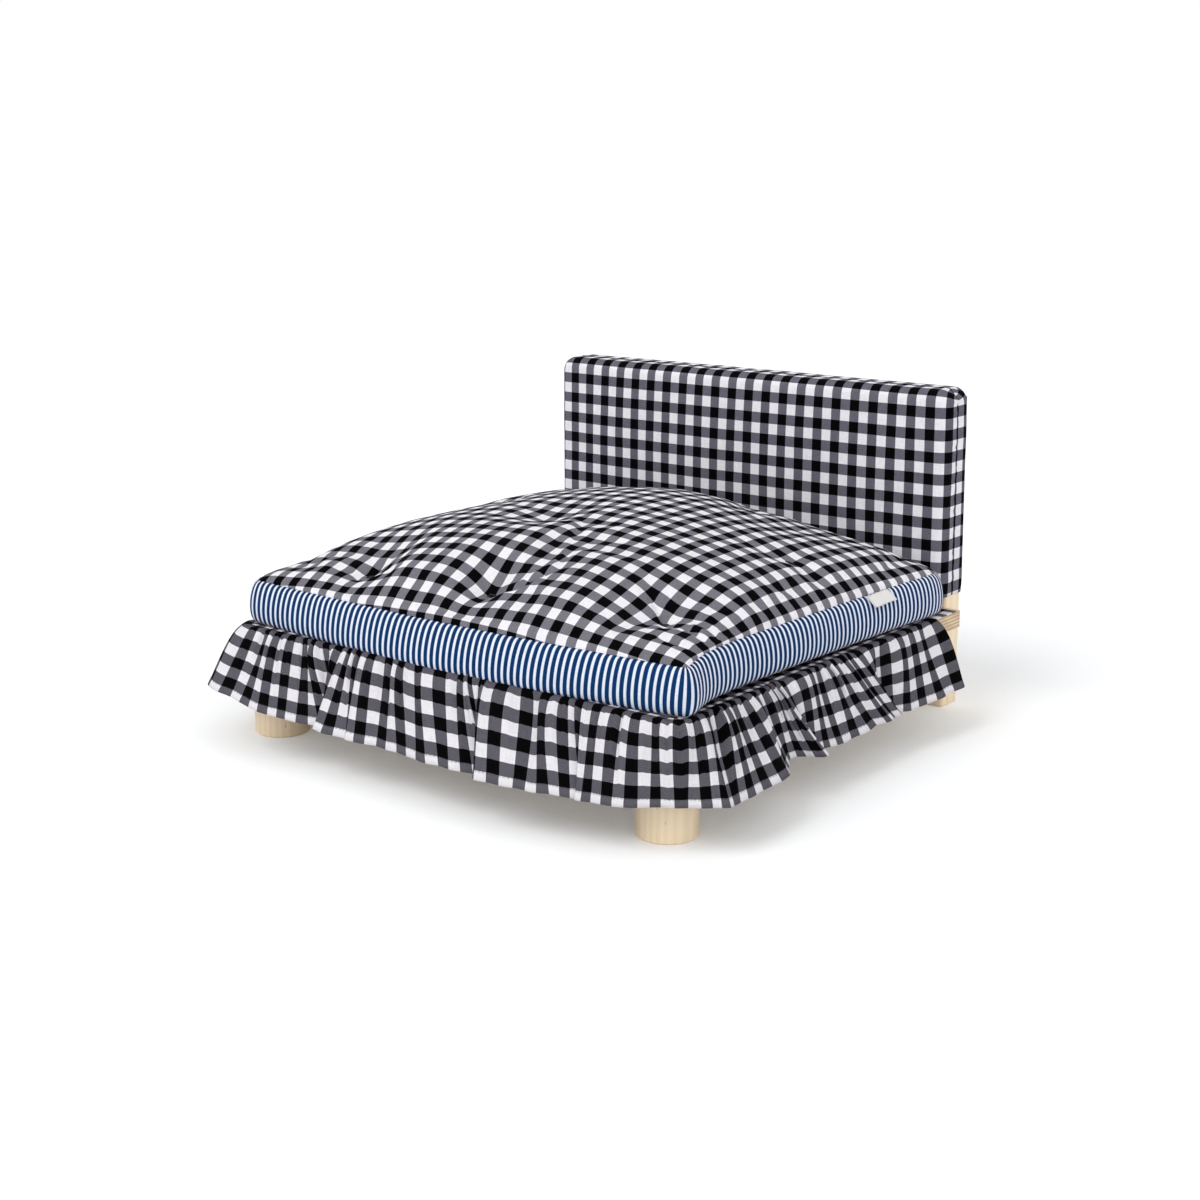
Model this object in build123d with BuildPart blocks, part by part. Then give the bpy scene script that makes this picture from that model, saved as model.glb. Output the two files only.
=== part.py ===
"""Pet bed with a padded headboard, a tufted cushion and a gathered skirt.

Units are millimetres. Z is up, X runs to the right as seen from the front and
Y runs to the back. Sizes along Y are measured from the headboard's front, and
each finished piece is moved so that the origin is on the floor in the middle
of the bed's footprint.
"""
import os

from build123d import *

os.makedirs("parts", exist_ok=True)

# Fits and cloth
seat_gap = 0.3
hole_play = 0.3
cloth = 1.5
thin_cloth = 1.0

# Deck and the frame under it
deck_width = 486.0
deck_lip = 10.0
deck_top = 98.0
deck_thickness = 16.0
deck_corner = 24.0
rail_width = 24.0
rail_height = 24.0

# Round front feet
foot_diameter = 50.0
foot_inset = 1.0
foot_proud = 2.0
foot_chamfer = 1.5

# Rear posts
post_width = 45.0
post_face = 8.0
post_back = 38.4
post_inset = 15.6
post_top = 296.0
post_edge = 4.0

# Headboard
board_thickness = 12.0
board_rise = 13.5
foam_thickness = 9.6
top_rail_height = 26.0
cover_rise = 10.5
cover_front_edge = 11.0
cover_top_edge = 8.0
cover_top_room = 7.0
cover_seam = 18.0

# Cushion
cushion_overhang = 3.0
cushion_depth = 429.0
cushion_back = 8.0
band_height = 38.0
band_bulge = 5.0
band_corner = 24.0
crown_height = 67.5
crown_power_x = 1.6
crown_power_y = 3.0
crown_swell = 0.68
crown_height_shares = (0.0, 0.3, 0.6, 0.85, 0.97)
crown_corner_shares = (0.114, 0.53, 0.75, 0.95, 0.95)

# Tufts, given as shares of the cushion's half width and half depth
tuft_shares = (
    (-0.53, -0.83),
    (0.05, -0.82),
    (0.72, -0.7),
    (-0.12, -0.22),
    (0.76, 0.12),
    (-0.66, 0.05),
    (0.3, 0.62),
    (-0.4, 0.66),
)
tuft_radius = 60.0
tuft_depth = 11.0
thread_diameter = 1.6
stitch_length = 8.0
stitch_size = 2.0

# Label sewn in the band's top seam
label_length = 36.0
label_drop = 13.0
label_stand = 1.0
label_lean = 6.3
label_thickness = 0.8
label_setback = 136.0
label_rise = 1.6

# Skirt
hem_height = 38.0
hem_flare_front = 50.0
hem_flare_side = 30.0
skirt_cloth = 1.2
front_fold_count = 7
side_fold_count = 6
corner_fold_count = 1
gather_depth = 1.2
fold_depth = 9.0
hem_corner = 85.0
skirt_end = 2.0
hem_end = 14.0

# Hanger bolts and tee nuts of the feet
bolt_diameter = 8.0
bolt_depth = 38.0
tee_flange_diameter = 22.0
tee_flange_thickness = 1.5
tee_barrel_diameter = 10.6
tee_barrel_length = 10.0

# Post bolts and their barrel nuts
post_bolt_diameter = 6.0
post_bolt_length = 72.0
post_bolt_head_diameter = 14.0
post_bolt_head_height = 4.0
post_bolt_socket = 5.0
post_bolt_socket_depth = 2.5
barrel_nut_diameter = 10.0
barrel_nut_length = 18.0
barrel_nut_back = 18.0

# Screws that hold the deck to the rails
screw_diameter = 4.0
screw_length = 32.0
screw_head_diameter = 8.0
screw_head_height = 2.4
screw_spread_share = 0.72

# Derived heights
cover_bottom = deck_top + cover_rise
board_bottom = cover_bottom + board_rise
deck_bottom = deck_top - deck_thickness
foot_height = deck_bottom - seat_gap
rail_top = deck_bottom - seat_gap
rail_bottom = rail_top - rail_height
sheet_bottom = deck_top + seat_gap
sheet_top = sheet_bottom + thin_cloth
bottom_panel_base = sheet_top + seat_gap
bottom_panel_top = bottom_panel_base + cloth
band_base = bottom_panel_top + seat_gap
band_top = band_base + band_height
crown_base = band_top + seat_gap
cushion_centre_y = -cushion_back - cushion_depth / 2

# Derived places
cushion_width = deck_width + 2 * cushion_overhang
deck_front = cushion_back + cushion_depth + deck_lip
foot_spread = deck_width / 2 - foot_diameter / 2 - foot_inset
foot_front = deck_front - foot_diameter / 2 + foot_proud
post_outside = deck_width / 2 - post_inset
label_back = cushion_back + label_setback
post_centre_x = post_outside - post_width / 2
post_inside = post_outside - post_width
post_depth = post_back - post_face
post_centre_y = post_face + post_depth / 2
cover_clear = cloth + seat_gap
cover_outside = post_outside + cover_clear
cover_back = post_back + cover_clear
foam_face = post_face - seat_gap - foam_thickness
cover_face = foam_face - cover_clear
cover_top = post_top + cover_top_room + cover_clear
side_rail_x = foot_spread - foot_diameter / 2 + rail_width / 2 + seat_gap
side_rail_front = foot_front - foot_diameter / 2 - seat_gap
side_rail_back = post_face - seat_gap
side_rail_length = side_rail_front + side_rail_back
side_rail_y = (side_rail_back - side_rail_front) / 2
rear_rail_length = 2 * (post_inside - seat_gap)
front_rail_length = 2 * (foot_spread - foot_diameter / 2 - seat_gap)
post_bolt_height = rail_bottom + rail_height / 2

skirt_x = deck_width / 2 + skirt_cloth + gather_depth + seat_gap
skirt_y = deck_front + skirt_cloth + gather_depth + seat_gap
hem_x = skirt_x + hem_flare_side
hem_y = skirt_y + hem_flare_front
frame_shift = (hem_y + fold_depth - cover_back) / 2

seam_width = cushion_width - 2 * band_bulge
seam_depth = cushion_depth - 2 * band_bulge


def crown_rise(x, y):
    """Height of the crown above its seam at a point of the cushion."""
    across = 1 - abs(2 * x / seam_width) ** crown_power_x
    along = 1 - abs(2 * y / seam_depth) ** crown_power_y
    return crown_height * (across * along) ** crown_swell


def crown_reach(share):
    """Width and depth of the crown where it has risen by a share of its height."""
    left = 1 - share ** (1 / crown_swell)
    width = seam_width * left ** (1 / crown_power_x)
    depth = seam_depth * left ** (1 / crown_power_y)
    return width, depth


def tuft_places():
    """The tufts as points on the crown, measured from the cushion's centre."""
    places = []
    for share_x, share_y in tuft_shares:
        x = share_x * seam_width / 2
        y = share_y * seam_depth / 2
        places.append((x, y, crown_base + crown_rise(x, y) - tuft_depth))
    return places


def build_crown(inset):
    """The crowned block under the top panel, drawn in by an inset on every side."""
    with BuildPart() as block:
        for share, corner in zip(crown_height_shares, crown_corner_shares):
            level = crown_base + share * (crown_height - inset)
            width, depth = crown_reach(share)
            width -= 2 * inset
            depth -= 2 * inset
            with BuildSketch(Plane.XY.offset(level)):
                with Locations((0, cushion_centre_y)):
                    RectangleRounded(width, depth, corner * min(width, depth) / 2)
        loft()
        for x, y, z in tuft_places():
            with Locations((x, cushion_centre_y + y, z + tuft_radius)):
                Sphere(tuft_radius + inset, mode=Mode.SUBTRACT)
    return block.part


def build_band_block(inset):
    """The block inside the band, with its sides bulged out at half height."""
    with BuildPart() as block:
        for share, bulge in ((0, 0), (0.5, band_bulge), (1, 0)):
            level = band_base + share * band_height
            width = seam_width + 2 * bulge - 2 * inset
            depth = seam_depth + 2 * bulge - 2 * inset
            with BuildSketch(Plane.XY.offset(level)):
                with Locations((0, cushion_centre_y)):
                    RectangleRounded(width, depth, band_corner - inset)
        loft()
    return block.part


def drill_threads(base, height):
    """Holes for the tuft threads, cut straight down through a cushion piece."""
    for x, y, _ in tuft_places():
        with Locations((x, cushion_centre_y + y, base)):
            Cylinder(
                thread_diameter / 2 + hole_play,
                height,
                align=(Align.CENTER, Align.CENTER, Align.MIN),
                mode=Mode.SUBTRACT,
            )


def save(piece, name):
    """Move a finished piece to the shared frame, name it and write it out."""
    placed = Pos(0, frame_shift, 0) * piece
    placed.label = name
    export_step(placed, f"parts/{name}.step")


# Deck panel, notched round the rear posts and resting on the rear rail
with BuildPart() as deck_panel:
    with BuildSketch(Plane.XY.offset(deck_bottom)):
        with BuildLine():
            half = deck_width / 2
            tongue = post_inside - seat_gap
            back = post_face - seat_gap
            Polyline(
                (-half, -deck_front),
                (half, -deck_front),
                (half, back),
                (tongue, back),
                (tongue, post_face + rail_width),
                (-tongue, post_face + rail_width),
                (-tongue, back),
                (-half, back),
                close=True,
            )
        make_face()
    extrude(amount=deck_thickness)
    front_corners = deck_panel.edges().filter_by(Axis.Z).group_by(Axis.Y)[0]
    fillet(front_corners, deck_corner)
    with Locations(
        (foot_spread, -foot_front, deck_top), (-foot_spread, -foot_front, deck_top)
    ):
        CounterBoreHole(
            tee_barrel_diameter / 2 + hole_play,
            tee_flange_diameter / 2 + hole_play,
            tee_flange_thickness + hole_play,
        )
    screw_y = side_rail_length / 2 * screw_spread_share
    for side in (-1, 1):
        for way in (-1, 1):
            with Locations((side * side_rail_x, side_rail_y + way * screw_y, deck_bottom)):
                Cylinder(
                    screw_diameter / 2 + hole_play,
                    screw_length - rail_height,
                    align=(Align.CENTER, Align.CENTER, Align.MIN),
                    mode=Mode.SUBTRACT,
                )
save(deck_panel.part, "deck_panel")

# Rails under the deck
with BuildPart() as front_rail:
    with Locations((0, -foot_front, rail_bottom)):
        Box(
            front_rail_length,
            rail_width,
            rail_height,
            align=(Align.CENTER, Align.CENTER, Align.MIN),
        )
save(front_rail.part, "front_rail")

with BuildPart() as rear_rail:
    with Locations((0, post_face + rail_width / 2, rail_bottom)):
        Box(
            rear_rail_length,
            rail_width,
            rail_height,
            align=(Align.CENTER, Align.CENTER, Align.MIN),
        )
save(rear_rail.part, "rear_rail")

for side, side_name in ((-1, "left"), (1, "right")):
    with BuildPart() as side_rail:
        with Locations((side * side_rail_x, side_rail_y, rail_bottom)):
            Box(
                rail_width,
                side_rail_length,
                rail_height,
                align=(Align.CENTER, Align.CENTER, Align.MIN),
            )
        for way in (-1, 1):
            with Locations((side * side_rail_x, side_rail_y + way * screw_y, rail_bottom)):
                Cylinder(
                    screw_diameter / 2 + hole_play,
                    rail_height,
                    align=(Align.CENTER, Align.CENTER, Align.MIN),
                    mode=Mode.SUBTRACT,
                )
                Cylinder(
                    screw_head_diameter / 2 + hole_play,
                    screw_head_height + hole_play,
                    align=(Align.CENTER, Align.CENTER, Align.MIN),
                    mode=Mode.SUBTRACT,
                )
        with Locations((side * side_rail_x, side_rail_back, post_bolt_height)):
            Cylinder(
                post_bolt_diameter / 2 + hole_play,
                post_bolt_length - post_depth,
                rotation=(90, 0, 0),
                align=(Align.CENTER, Align.CENTER, Align.MIN),
                mode=Mode.SUBTRACT,
            )
        with Locations(
            (side * side_rail_x, side_rail_back - barrel_nut_back, post_bolt_height)
        ):
            Cylinder(
                barrel_nut_diameter / 2 + hole_play,
                rail_height,
                mode=Mode.SUBTRACT,
            )
    save(side_rail.part, f"{side_name}_side_rail")

    with BuildPart() as post:
        with Locations((side * post_centre_x, post_centre_y, 0)):
            Box(
                post_width,
                post_depth,
                post_top,
                align=(Align.CENTER, Align.CENTER, Align.MIN),
            )
        fillet(post.edges().filter_by(Axis.Z), post_edge)
        chamfer(post.faces().sort_by(Axis.Z)[0].edges(), foot_chamfer)
        with Locations((side * side_rail_x, post_back, post_bolt_height)):
            Cylinder(
                post_bolt_diameter / 2 + hole_play,
                post_depth,
                rotation=(90, 0, 0),
                align=(Align.CENTER, Align.CENTER, Align.MIN),
                mode=Mode.SUBTRACT,
            )
            Cylinder(
                post_bolt_head_diameter / 2 + hole_play,
                post_bolt_head_height + hole_play,
                rotation=(90, 0, 0),
                align=(Align.CENTER, Align.CENTER, Align.MIN),
                mode=Mode.SUBTRACT,
            )
    save(post.part, f"rear_{side_name}_post")

    with BuildPart() as post_bolt:
        with Locations((side * side_rail_x, post_back, post_bolt_height)):
            Cylinder(
                post_bolt_head_diameter / 2,
                post_bolt_head_height,
                rotation=(90, 0, 0),
                align=(Align.CENTER, Align.CENTER, Align.MIN),
            )
            Cylinder(
                post_bolt_diameter / 2,
                post_bolt_length - hole_play,
                rotation=(90, 0, 0),
                align=(Align.CENTER, Align.CENTER, Align.MIN),
            )
        with BuildSketch(Plane.XZ.offset(-post_back)):
            with Locations((side * side_rail_x, post_bolt_height)):
                RegularPolygon(post_bolt_socket / 2, 6, major_radius=False)
        extrude(amount=post_bolt_socket_depth, mode=Mode.SUBTRACT)
    save(post_bolt.part, f"rear_{side_name}_bolt")

    with BuildPart() as barrel_nut:
        with Locations(
            (side * side_rail_x, side_rail_back - barrel_nut_back, post_bolt_height)
        ):
            Cylinder(barrel_nut_diameter / 2, barrel_nut_length)
            Cylinder(
                post_bolt_diameter / 2 + hole_play,
                barrel_nut_diameter,
                rotation=(90, 0, 0),
                mode=Mode.SUBTRACT,
            )
    save(barrel_nut.part, f"rear_{side_name}_barrel_nut")

    with BuildPart() as deck_screws:
        for way in (-1, 1):
            with Locations(
                (side * side_rail_x, side_rail_y + way * screw_y, rail_bottom + hole_play)
            ):
                Cylinder(
                    screw_head_diameter / 2,
                    screw_head_height,
                    align=(Align.CENTER, Align.CENTER, Align.MIN),
                )
                Cylinder(
                    screw_diameter / 2,
                    screw_length - 2 * hole_play,
                    align=(Align.CENTER, Align.CENTER, Align.MIN),
                )
    save(deck_screws.part, f"{side_name}_deck_screws")

    # Front foot with its hanger bolt and tee nut
    with BuildPart() as foot:
        with Locations((side * foot_spread, -foot_front, 0)):
            Cylinder(
                foot_diameter / 2,
                foot_height,
                align=(Align.CENTER, Align.CENTER, Align.MIN),
            )
        chamfer(foot.faces().sort_by(Axis.Z)[0].edges(), foot_chamfer)
        with Locations((side * foot_spread, -foot_front, foot_height)):
            Cylinder(
                bolt_diameter / 2 + hole_play,
                bolt_depth,
                align=(Align.CENTER, Align.CENTER, Align.MAX),
                mode=Mode.SUBTRACT,
            )
    save(foot.part, f"front_{side_name}_foot")

    with BuildPart() as foot_bolt:
        with Locations(
            (side * foot_spread, -foot_front, foot_height - bolt_depth + hole_play)
        ):
            Cylinder(
                bolt_diameter / 2,
                bolt_depth + deck_thickness - tee_flange_thickness - hole_play,
                align=(Align.CENTER, Align.CENTER, Align.MIN),
            )
    save(foot_bolt.part, f"front_{side_name}_foot_bolt")

    with BuildPart() as tee_nut:
        with Locations((side * foot_spread, -foot_front, deck_top)):
            Cylinder(
                tee_flange_diameter / 2,
                tee_flange_thickness,
                align=(Align.CENTER, Align.CENTER, Align.MAX),
            )
            Cylinder(
                tee_barrel_diameter / 2,
                tee_barrel_length,
                align=(Align.CENTER, Align.CENTER, Align.MAX),
            )
            Cylinder(
                bolt_diameter / 2 + hole_play,
                tee_barrel_length,
                align=(Align.CENTER, Align.CENTER, Align.MAX),
                mode=Mode.SUBTRACT,
            )
    save(tee_nut.part, f"front_{side_name}_tee_nut")

# Headboard: board and top rail between the posts, with foam over the front
with BuildPart() as headboard_board:
    with Locations((0, post_face + board_thickness / 2, board_bottom)):
        Box(
            rear_rail_length,
            board_thickness,
            post_top - board_bottom,
            align=(Align.CENTER, Align.CENTER, Align.MIN),
        )
save(headboard_board.part, "headboard_board")

with BuildPart() as headboard_top_rail:
    rail_front = post_face + board_thickness + seat_gap
    with Locations((0, (rail_front + post_back) / 2, post_top)):
        Box(
            rear_rail_length,
            post_back - rail_front,
            top_rail_height,
            align=(Align.CENTER, Align.CENTER, Align.MAX),
        )
save(headboard_top_rail.part, "headboard_top_rail")


def build_cover_block(inset, height_above):
    """The rounded block that the headboard cover is hollowed from."""
    with BuildPart() as block:
        with Locations((0, cover_face + inset, cover_bottom - height_above)):
            Box(
                2 * (cover_outside - inset),
                cover_back - cover_face - 2 * inset,
                cover_top - inset - cover_bottom + height_above,
                align=(Align.CENTER, Align.MIN, Align.MIN),
            )
        upright = block.edges().filter_by(Axis.Z)
        fillet(upright.group_by(Axis.Y)[0], cover_front_edge - inset)
        upright = block.edges().filter_by(Axis.Z)
        fillet(upright.group_by(Axis.Y)[-1], post_edge + cover_clear - inset)
        fillet(block.faces().sort_by(Axis.Z)[-1].edges(), cover_top_edge - inset)
    return block.part


with BuildPart() as headboard_foam:
    add(build_cover_block(cover_clear, 0))
    with Locations((0, post_face - seat_gap, 0)):
        Box(
            2 * cover_outside,
            post_back,
            post_top + seat_gap,
            align=(Align.CENTER, Align.MIN, Align.MIN),
            mode=Mode.SUBTRACT,
        )
    with Locations((0, 0, 0)):
        Box(
            2 * cover_outside,
            post_back,
            board_bottom,
            align=(Align.CENTER, Align.CENTER, Align.MIN),
            mode=Mode.SUBTRACT,
        )
save(headboard_foam.part, "headboard_foam")

for name, way in (("headboard_cover_front", -1), ("headboard_cover_back", 1)):
    with BuildPart() as cover_half:
        add(build_cover_block(0, 0))
        add(build_cover_block(cloth, cloth), mode=Mode.SUBTRACT)
        split_plane = Plane.XZ.offset(-cover_seam + way * -seat_gap / 2)
        keep_side = Keep.TOP if way < 0 else Keep.BOTTOM
        split(bisect_by=split_plane, keep=keep_side)
    save(cover_half.part, name)

# Cushion: panels, band and filling
with BuildPart() as cushion_top:
    add(build_crown(0))
    add(build_crown(cloth), mode=Mode.SUBTRACT)
    drill_threads(crown_base, crown_height)
save(cushion_top.part, "cushion_top")

with BuildPart() as cushion_band:
    add(build_band_block(0))
    add(build_band_block(cloth), mode=Mode.SUBTRACT)
save(cushion_band.part, "cushion_band")

with BuildPart() as cushion_bottom:
    with BuildSketch(Plane.XY.offset(bottom_panel_base)):
        with Locations((0, cushion_centre_y)):
            RectangleRounded(seam_width, seam_depth, band_corner)
    extrude(amount=cloth)
    drill_threads(bottom_panel_base, cloth)
save(cushion_bottom.part, "cushion_bottom")

with BuildPart() as cushion_filling:
    add(build_band_block(cloth + seat_gap))
    with BuildSketch(Plane.XY.offset(band_top)):
        with Locations((0, cushion_centre_y)):
            RectangleRounded(
                seam_width - 2 * cloth - 2 * seat_gap,
                seam_depth - 2 * cloth - 2 * seat_gap,
                band_corner - cloth - seat_gap,
            )
    extrude(amount=seat_gap)
    add(build_crown(cloth + seat_gap))
    drill_threads(band_base, band_height + crown_height)
save(cushion_filling.part, "cushion_filling")

for number, (x, y, z) in enumerate(tuft_places(), start=1):
    with BuildPart() as tuft_tie:
        thread_base = bottom_panel_base
        with Locations((x, cushion_centre_y + y, thread_base)):
            Cylinder(
                thread_diameter / 2,
                z + seat_gap - thread_base,
                align=(Align.CENTER, Align.CENTER, Align.MIN),
            )
        with Locations((x, cushion_centre_y + y, z + seat_gap)):
            Box(
                stitch_length,
                stitch_size,
                stitch_size,
                align=(Align.CENTER, Align.CENTER, Align.MIN),
            )
    save(tuft_tie.part, f"tuft_tie_{number}")

# Blank label hanging from the band's top seam
with BuildPart() as cushion_label:
    with BuildSketch(Plane.XZ.offset(label_back)):
        with BuildLine():
            seam_x = seam_width / 2 + label_stand
            seam_z = band_top - label_rise
            Polyline(
                (seam_x, seam_z),
                (seam_x + label_thickness, seam_z + seat_gap),
                (seam_x + label_thickness + label_lean, seam_z - label_drop),
                (seam_x + label_lean, seam_z - label_drop - seat_gap),
                close=True,
            )
        make_face()
    extrude(amount=label_length / 2, both=True)
save(cushion_label.part, "cushion_label")

# Skirt: a flat sheet on the deck with a gathered panel on three sides
with BuildPart() as skirt_sheet:
    with BuildSketch(Plane.XY.offset(sheet_bottom)):
        with Locations((0, -deck_front)):
            Rectangle(
                deck_width,
                deck_front - skirt_end,
                align=(Align.CENTER, Align.MIN),
            )
    extrude(amount=thin_cloth)
    fillet(skirt_sheet.edges().filter_by(Axis.Z).group_by(Axis.Y)[0], deck_corner)
save(skirt_sheet.part, "skirt_sheet")


def wave_edge(path, count, depth, inset):
    """Arcs that wave in and out along a path, drawn in by an inset."""

    def place(share, shift):
        tangent = path.tangent_at(share)
        outward = Vector(tangent.Y, -tangent.X)
        return path.position_at(share) + outward * shift

    for index in range(count):
        way = 1 if index % 2 == 0 else -1
        ThreePointArc(
            place(index / count, -inset),
            place((index + 0.5) / count, way * depth - inset),
            place((index + 1) / count, -inset),
        )
    return place(0, 0), place(0, -inset), place(1, 0), place(1, -inset)


def build_skirt_panel(top_path, hem_path, fold_count):
    """A gathered panel from its top line down to its folded hem."""
    with BuildPart() as panel:
        for path, level, depth in (
            (top_path, sheet_top, gather_depth),
            (hem_path, hem_height, fold_depth),
        ):
            with BuildSketch(Plane.XY.offset(level)):
                with BuildLine():
                    wave_edge(path, 2 * fold_count + 1, depth, 0)
                    ends = wave_edge(path, 2 * fold_count + 1, depth, skirt_cloth)
                    Line(ends[0], ends[1])
                    Line(ends[2], ends[3])
                make_face()
        loft(ruled=True)
    return panel.part


front_top = Edge.make_line(
    (-skirt_x + deck_corner + seat_gap, -skirt_y),
    (skirt_x - deck_corner - seat_gap, -skirt_y),
)
front_hem = Edge.make_line(
    (-hem_x + hem_corner + seat_gap, -hem_y), (hem_x - hem_corner - seat_gap, -hem_y)
)
save(build_skirt_panel(front_top, front_hem, front_fold_count), "skirt_front")

left_top = Edge.make_line((-skirt_x, -skirt_end), (-skirt_x, deck_corner + seat_gap - skirt_y))
left_hem = Edge.make_line((-hem_x, -hem_end), (-hem_x, hem_corner + seat_gap - hem_y))
right_top = Edge.make_line((skirt_x, deck_corner + seat_gap - skirt_y), (skirt_x, -skirt_end))
right_hem = Edge.make_line((hem_x, hem_corner + seat_gap - hem_y), (hem_x, -hem_end))
save(build_skirt_panel(left_top, left_hem, side_fold_count), "skirt_left")
save(build_skirt_panel(right_top, right_hem, side_fold_count), "skirt_right")

for side, side_name, first_angle in ((-1, "left", 180), (1, "right", 270)):
    corner_paths = []
    for reach_x, reach_y, radius in (
        (skirt_x, skirt_y, deck_corner),
        (hem_x, hem_y, hem_corner),
    ):
        corner_paths.append(
            Edge.make_circle(
                radius,
                Plane((side * (reach_x - radius), radius - reach_y)),
                start_angle=first_angle,
                end_angle=first_angle + 90,
            )
        )
    save(
        build_skirt_panel(corner_paths[0], corner_paths[1], corner_fold_count),
        f"skirt_{side_name}_corner",
    )
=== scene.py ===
"""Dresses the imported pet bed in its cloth, padding, wood and metal finishes.

Sizes are in metres in the row frame: Z is up, the front faces -Y, and the
origin is on the floor in the middle of the bed's footprint.
"""
import logging
import math
from dataclasses import dataclass
from enum import Enum
from typing import Sequence

import bmesh
import bpy
import numpy as np
from mathutils import Matrix, Vector


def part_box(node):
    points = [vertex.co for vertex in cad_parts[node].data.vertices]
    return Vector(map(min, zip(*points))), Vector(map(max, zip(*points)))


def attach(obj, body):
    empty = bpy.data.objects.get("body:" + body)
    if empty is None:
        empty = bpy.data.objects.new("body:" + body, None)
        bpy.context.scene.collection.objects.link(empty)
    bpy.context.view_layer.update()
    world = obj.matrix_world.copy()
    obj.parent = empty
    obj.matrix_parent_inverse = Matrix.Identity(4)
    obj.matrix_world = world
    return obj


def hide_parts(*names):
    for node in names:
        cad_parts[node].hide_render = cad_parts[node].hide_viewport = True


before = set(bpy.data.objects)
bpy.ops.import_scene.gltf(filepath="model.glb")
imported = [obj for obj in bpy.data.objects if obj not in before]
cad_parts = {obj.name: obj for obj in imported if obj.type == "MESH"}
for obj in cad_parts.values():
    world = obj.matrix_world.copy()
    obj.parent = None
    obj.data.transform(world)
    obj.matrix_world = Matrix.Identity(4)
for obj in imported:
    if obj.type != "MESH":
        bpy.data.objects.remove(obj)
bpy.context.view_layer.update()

LOG = logging.getLogger("pet_bed")
MM = 0.001
UV_MAP = "cloth"
MERGE_DISTANCE = 2e-6
CHECK_PERIOD = 0.02
TURN = 2 * math.pi
QUARTER = math.pi / 2
TINY = 1e-9

Array = np.ndarray
Colour = tuple[float, float, float, float]
Material = bpy.types.Material
Node = bpy.types.Node
Piece = bpy.types.Object
Socket = bpy.types.NodeSocket
Tree = bpy.types.NodeTree
Feed = float | Sequence[float] | Socket


class Body(Enum):
    """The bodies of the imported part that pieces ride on."""

    FRAME = "frame"
    CUSHION = "cushion"
    COVER = "headboard_cover"


class Side(Enum):
    """Which half of the headboard cover a panel is: its value is the way it faces along Y."""

    FRONT = -1
    BACK = 1


class Grain(Enum):
    """The axis that a piece of timber's grain follows, as the turn that brings it to Z."""

    UP = (0.0, 0.0, 0.0)
    ACROSS = (0.0, QUARTER, 0.0)
    BACKWARD = (QUARTER, 0.0, 0.0)


# ---------------------------------------------------------------- mesh tools


@dataclass
class Patch:
    """A grid of points with the cloth's flat coordinates at each of them."""

    points: Array
    flat: Array
    flip: bool = False


def smoothstep(low: float, high: float, value: Array) -> Array:
    """Rises from 0 at low to 1 at high with level ends: 3t squared less 2t cubed."""
    share = np.clip((value - low) / (high - low), 0.0, 1.0)
    return share * share * (3 - 2 * share)


def ripple(along: Array, wavelength: float, seed: int, terms: int = 5) -> Array:
    """An irregular smooth wave.

    The formula is a mean of sines whose wavelengths spread from 0.7 to 1.5 times
    the given one, each with a phase drawn from the seed.

    Args:
        along: the distance that the wave runs along.
        wavelength: the middle wavelength.
        seed: the start of the phase draw.
        terms: how many sines are added.

    Returns:
        Values of about -1.5 to 1.5, in the shape of along.
    """
    phases = np.random.default_rng(seed).uniform(0.0, TURN, terms)
    total = np.zeros_like(along)
    for stretch, phase in zip(np.linspace(0.7, 1.5, terms), phases):
        total += np.sin(TURN * along / (wavelength * stretch) + phase)
    return total / math.sqrt(terms)


def crumple(x: Array, y: Array, wavelength: float, seed: int) -> Array:
    """Irregular hollows and rises: the mean of three ripples that run at 20, 80 and 140 degrees."""
    total = np.zeros_like(x)
    for number, angle in enumerate((0.35, 1.4, 2.44)):
        along = x * math.cos(angle) + y * math.sin(angle)
        total += ripple(along, wavelength, seed + number)
    return total / 3


def corner_share(a: Array, b: Array, power: float | Array) -> Array:
    """How far a square's points draw in, so that its corners are round.

    It is the larger share over the mean of both at the given high power.
    """
    largest = np.maximum(np.maximum(np.abs(a), np.abs(b)), TINY)
    powers = (np.abs(a) / largest) ** power + (np.abs(b) / largest) ** power
    mean = largest * np.maximum(powers, 1.0) ** (1 / power)
    return largest / mean


def end_round(x: Array, end: float, radius: float) -> Array:
    """How far a quarter circle before each end has come in.

    It is the radius less the root of its square less the distance past the
    circle's start squared.
    """
    past = np.clip(np.abs(x) - (end - radius), 0.0, radius)
    return radius - np.sqrt(np.clip(radius**2 - past**2, 0.0, None))


def path_length(points: Array) -> Array:
    """Distance along a line of points: the running sum of the steps between them."""
    steps = np.linalg.norm(np.diff(points, axis=0), axis=1)
    return np.concatenate([[0.0], np.cumsum(steps)])


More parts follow.
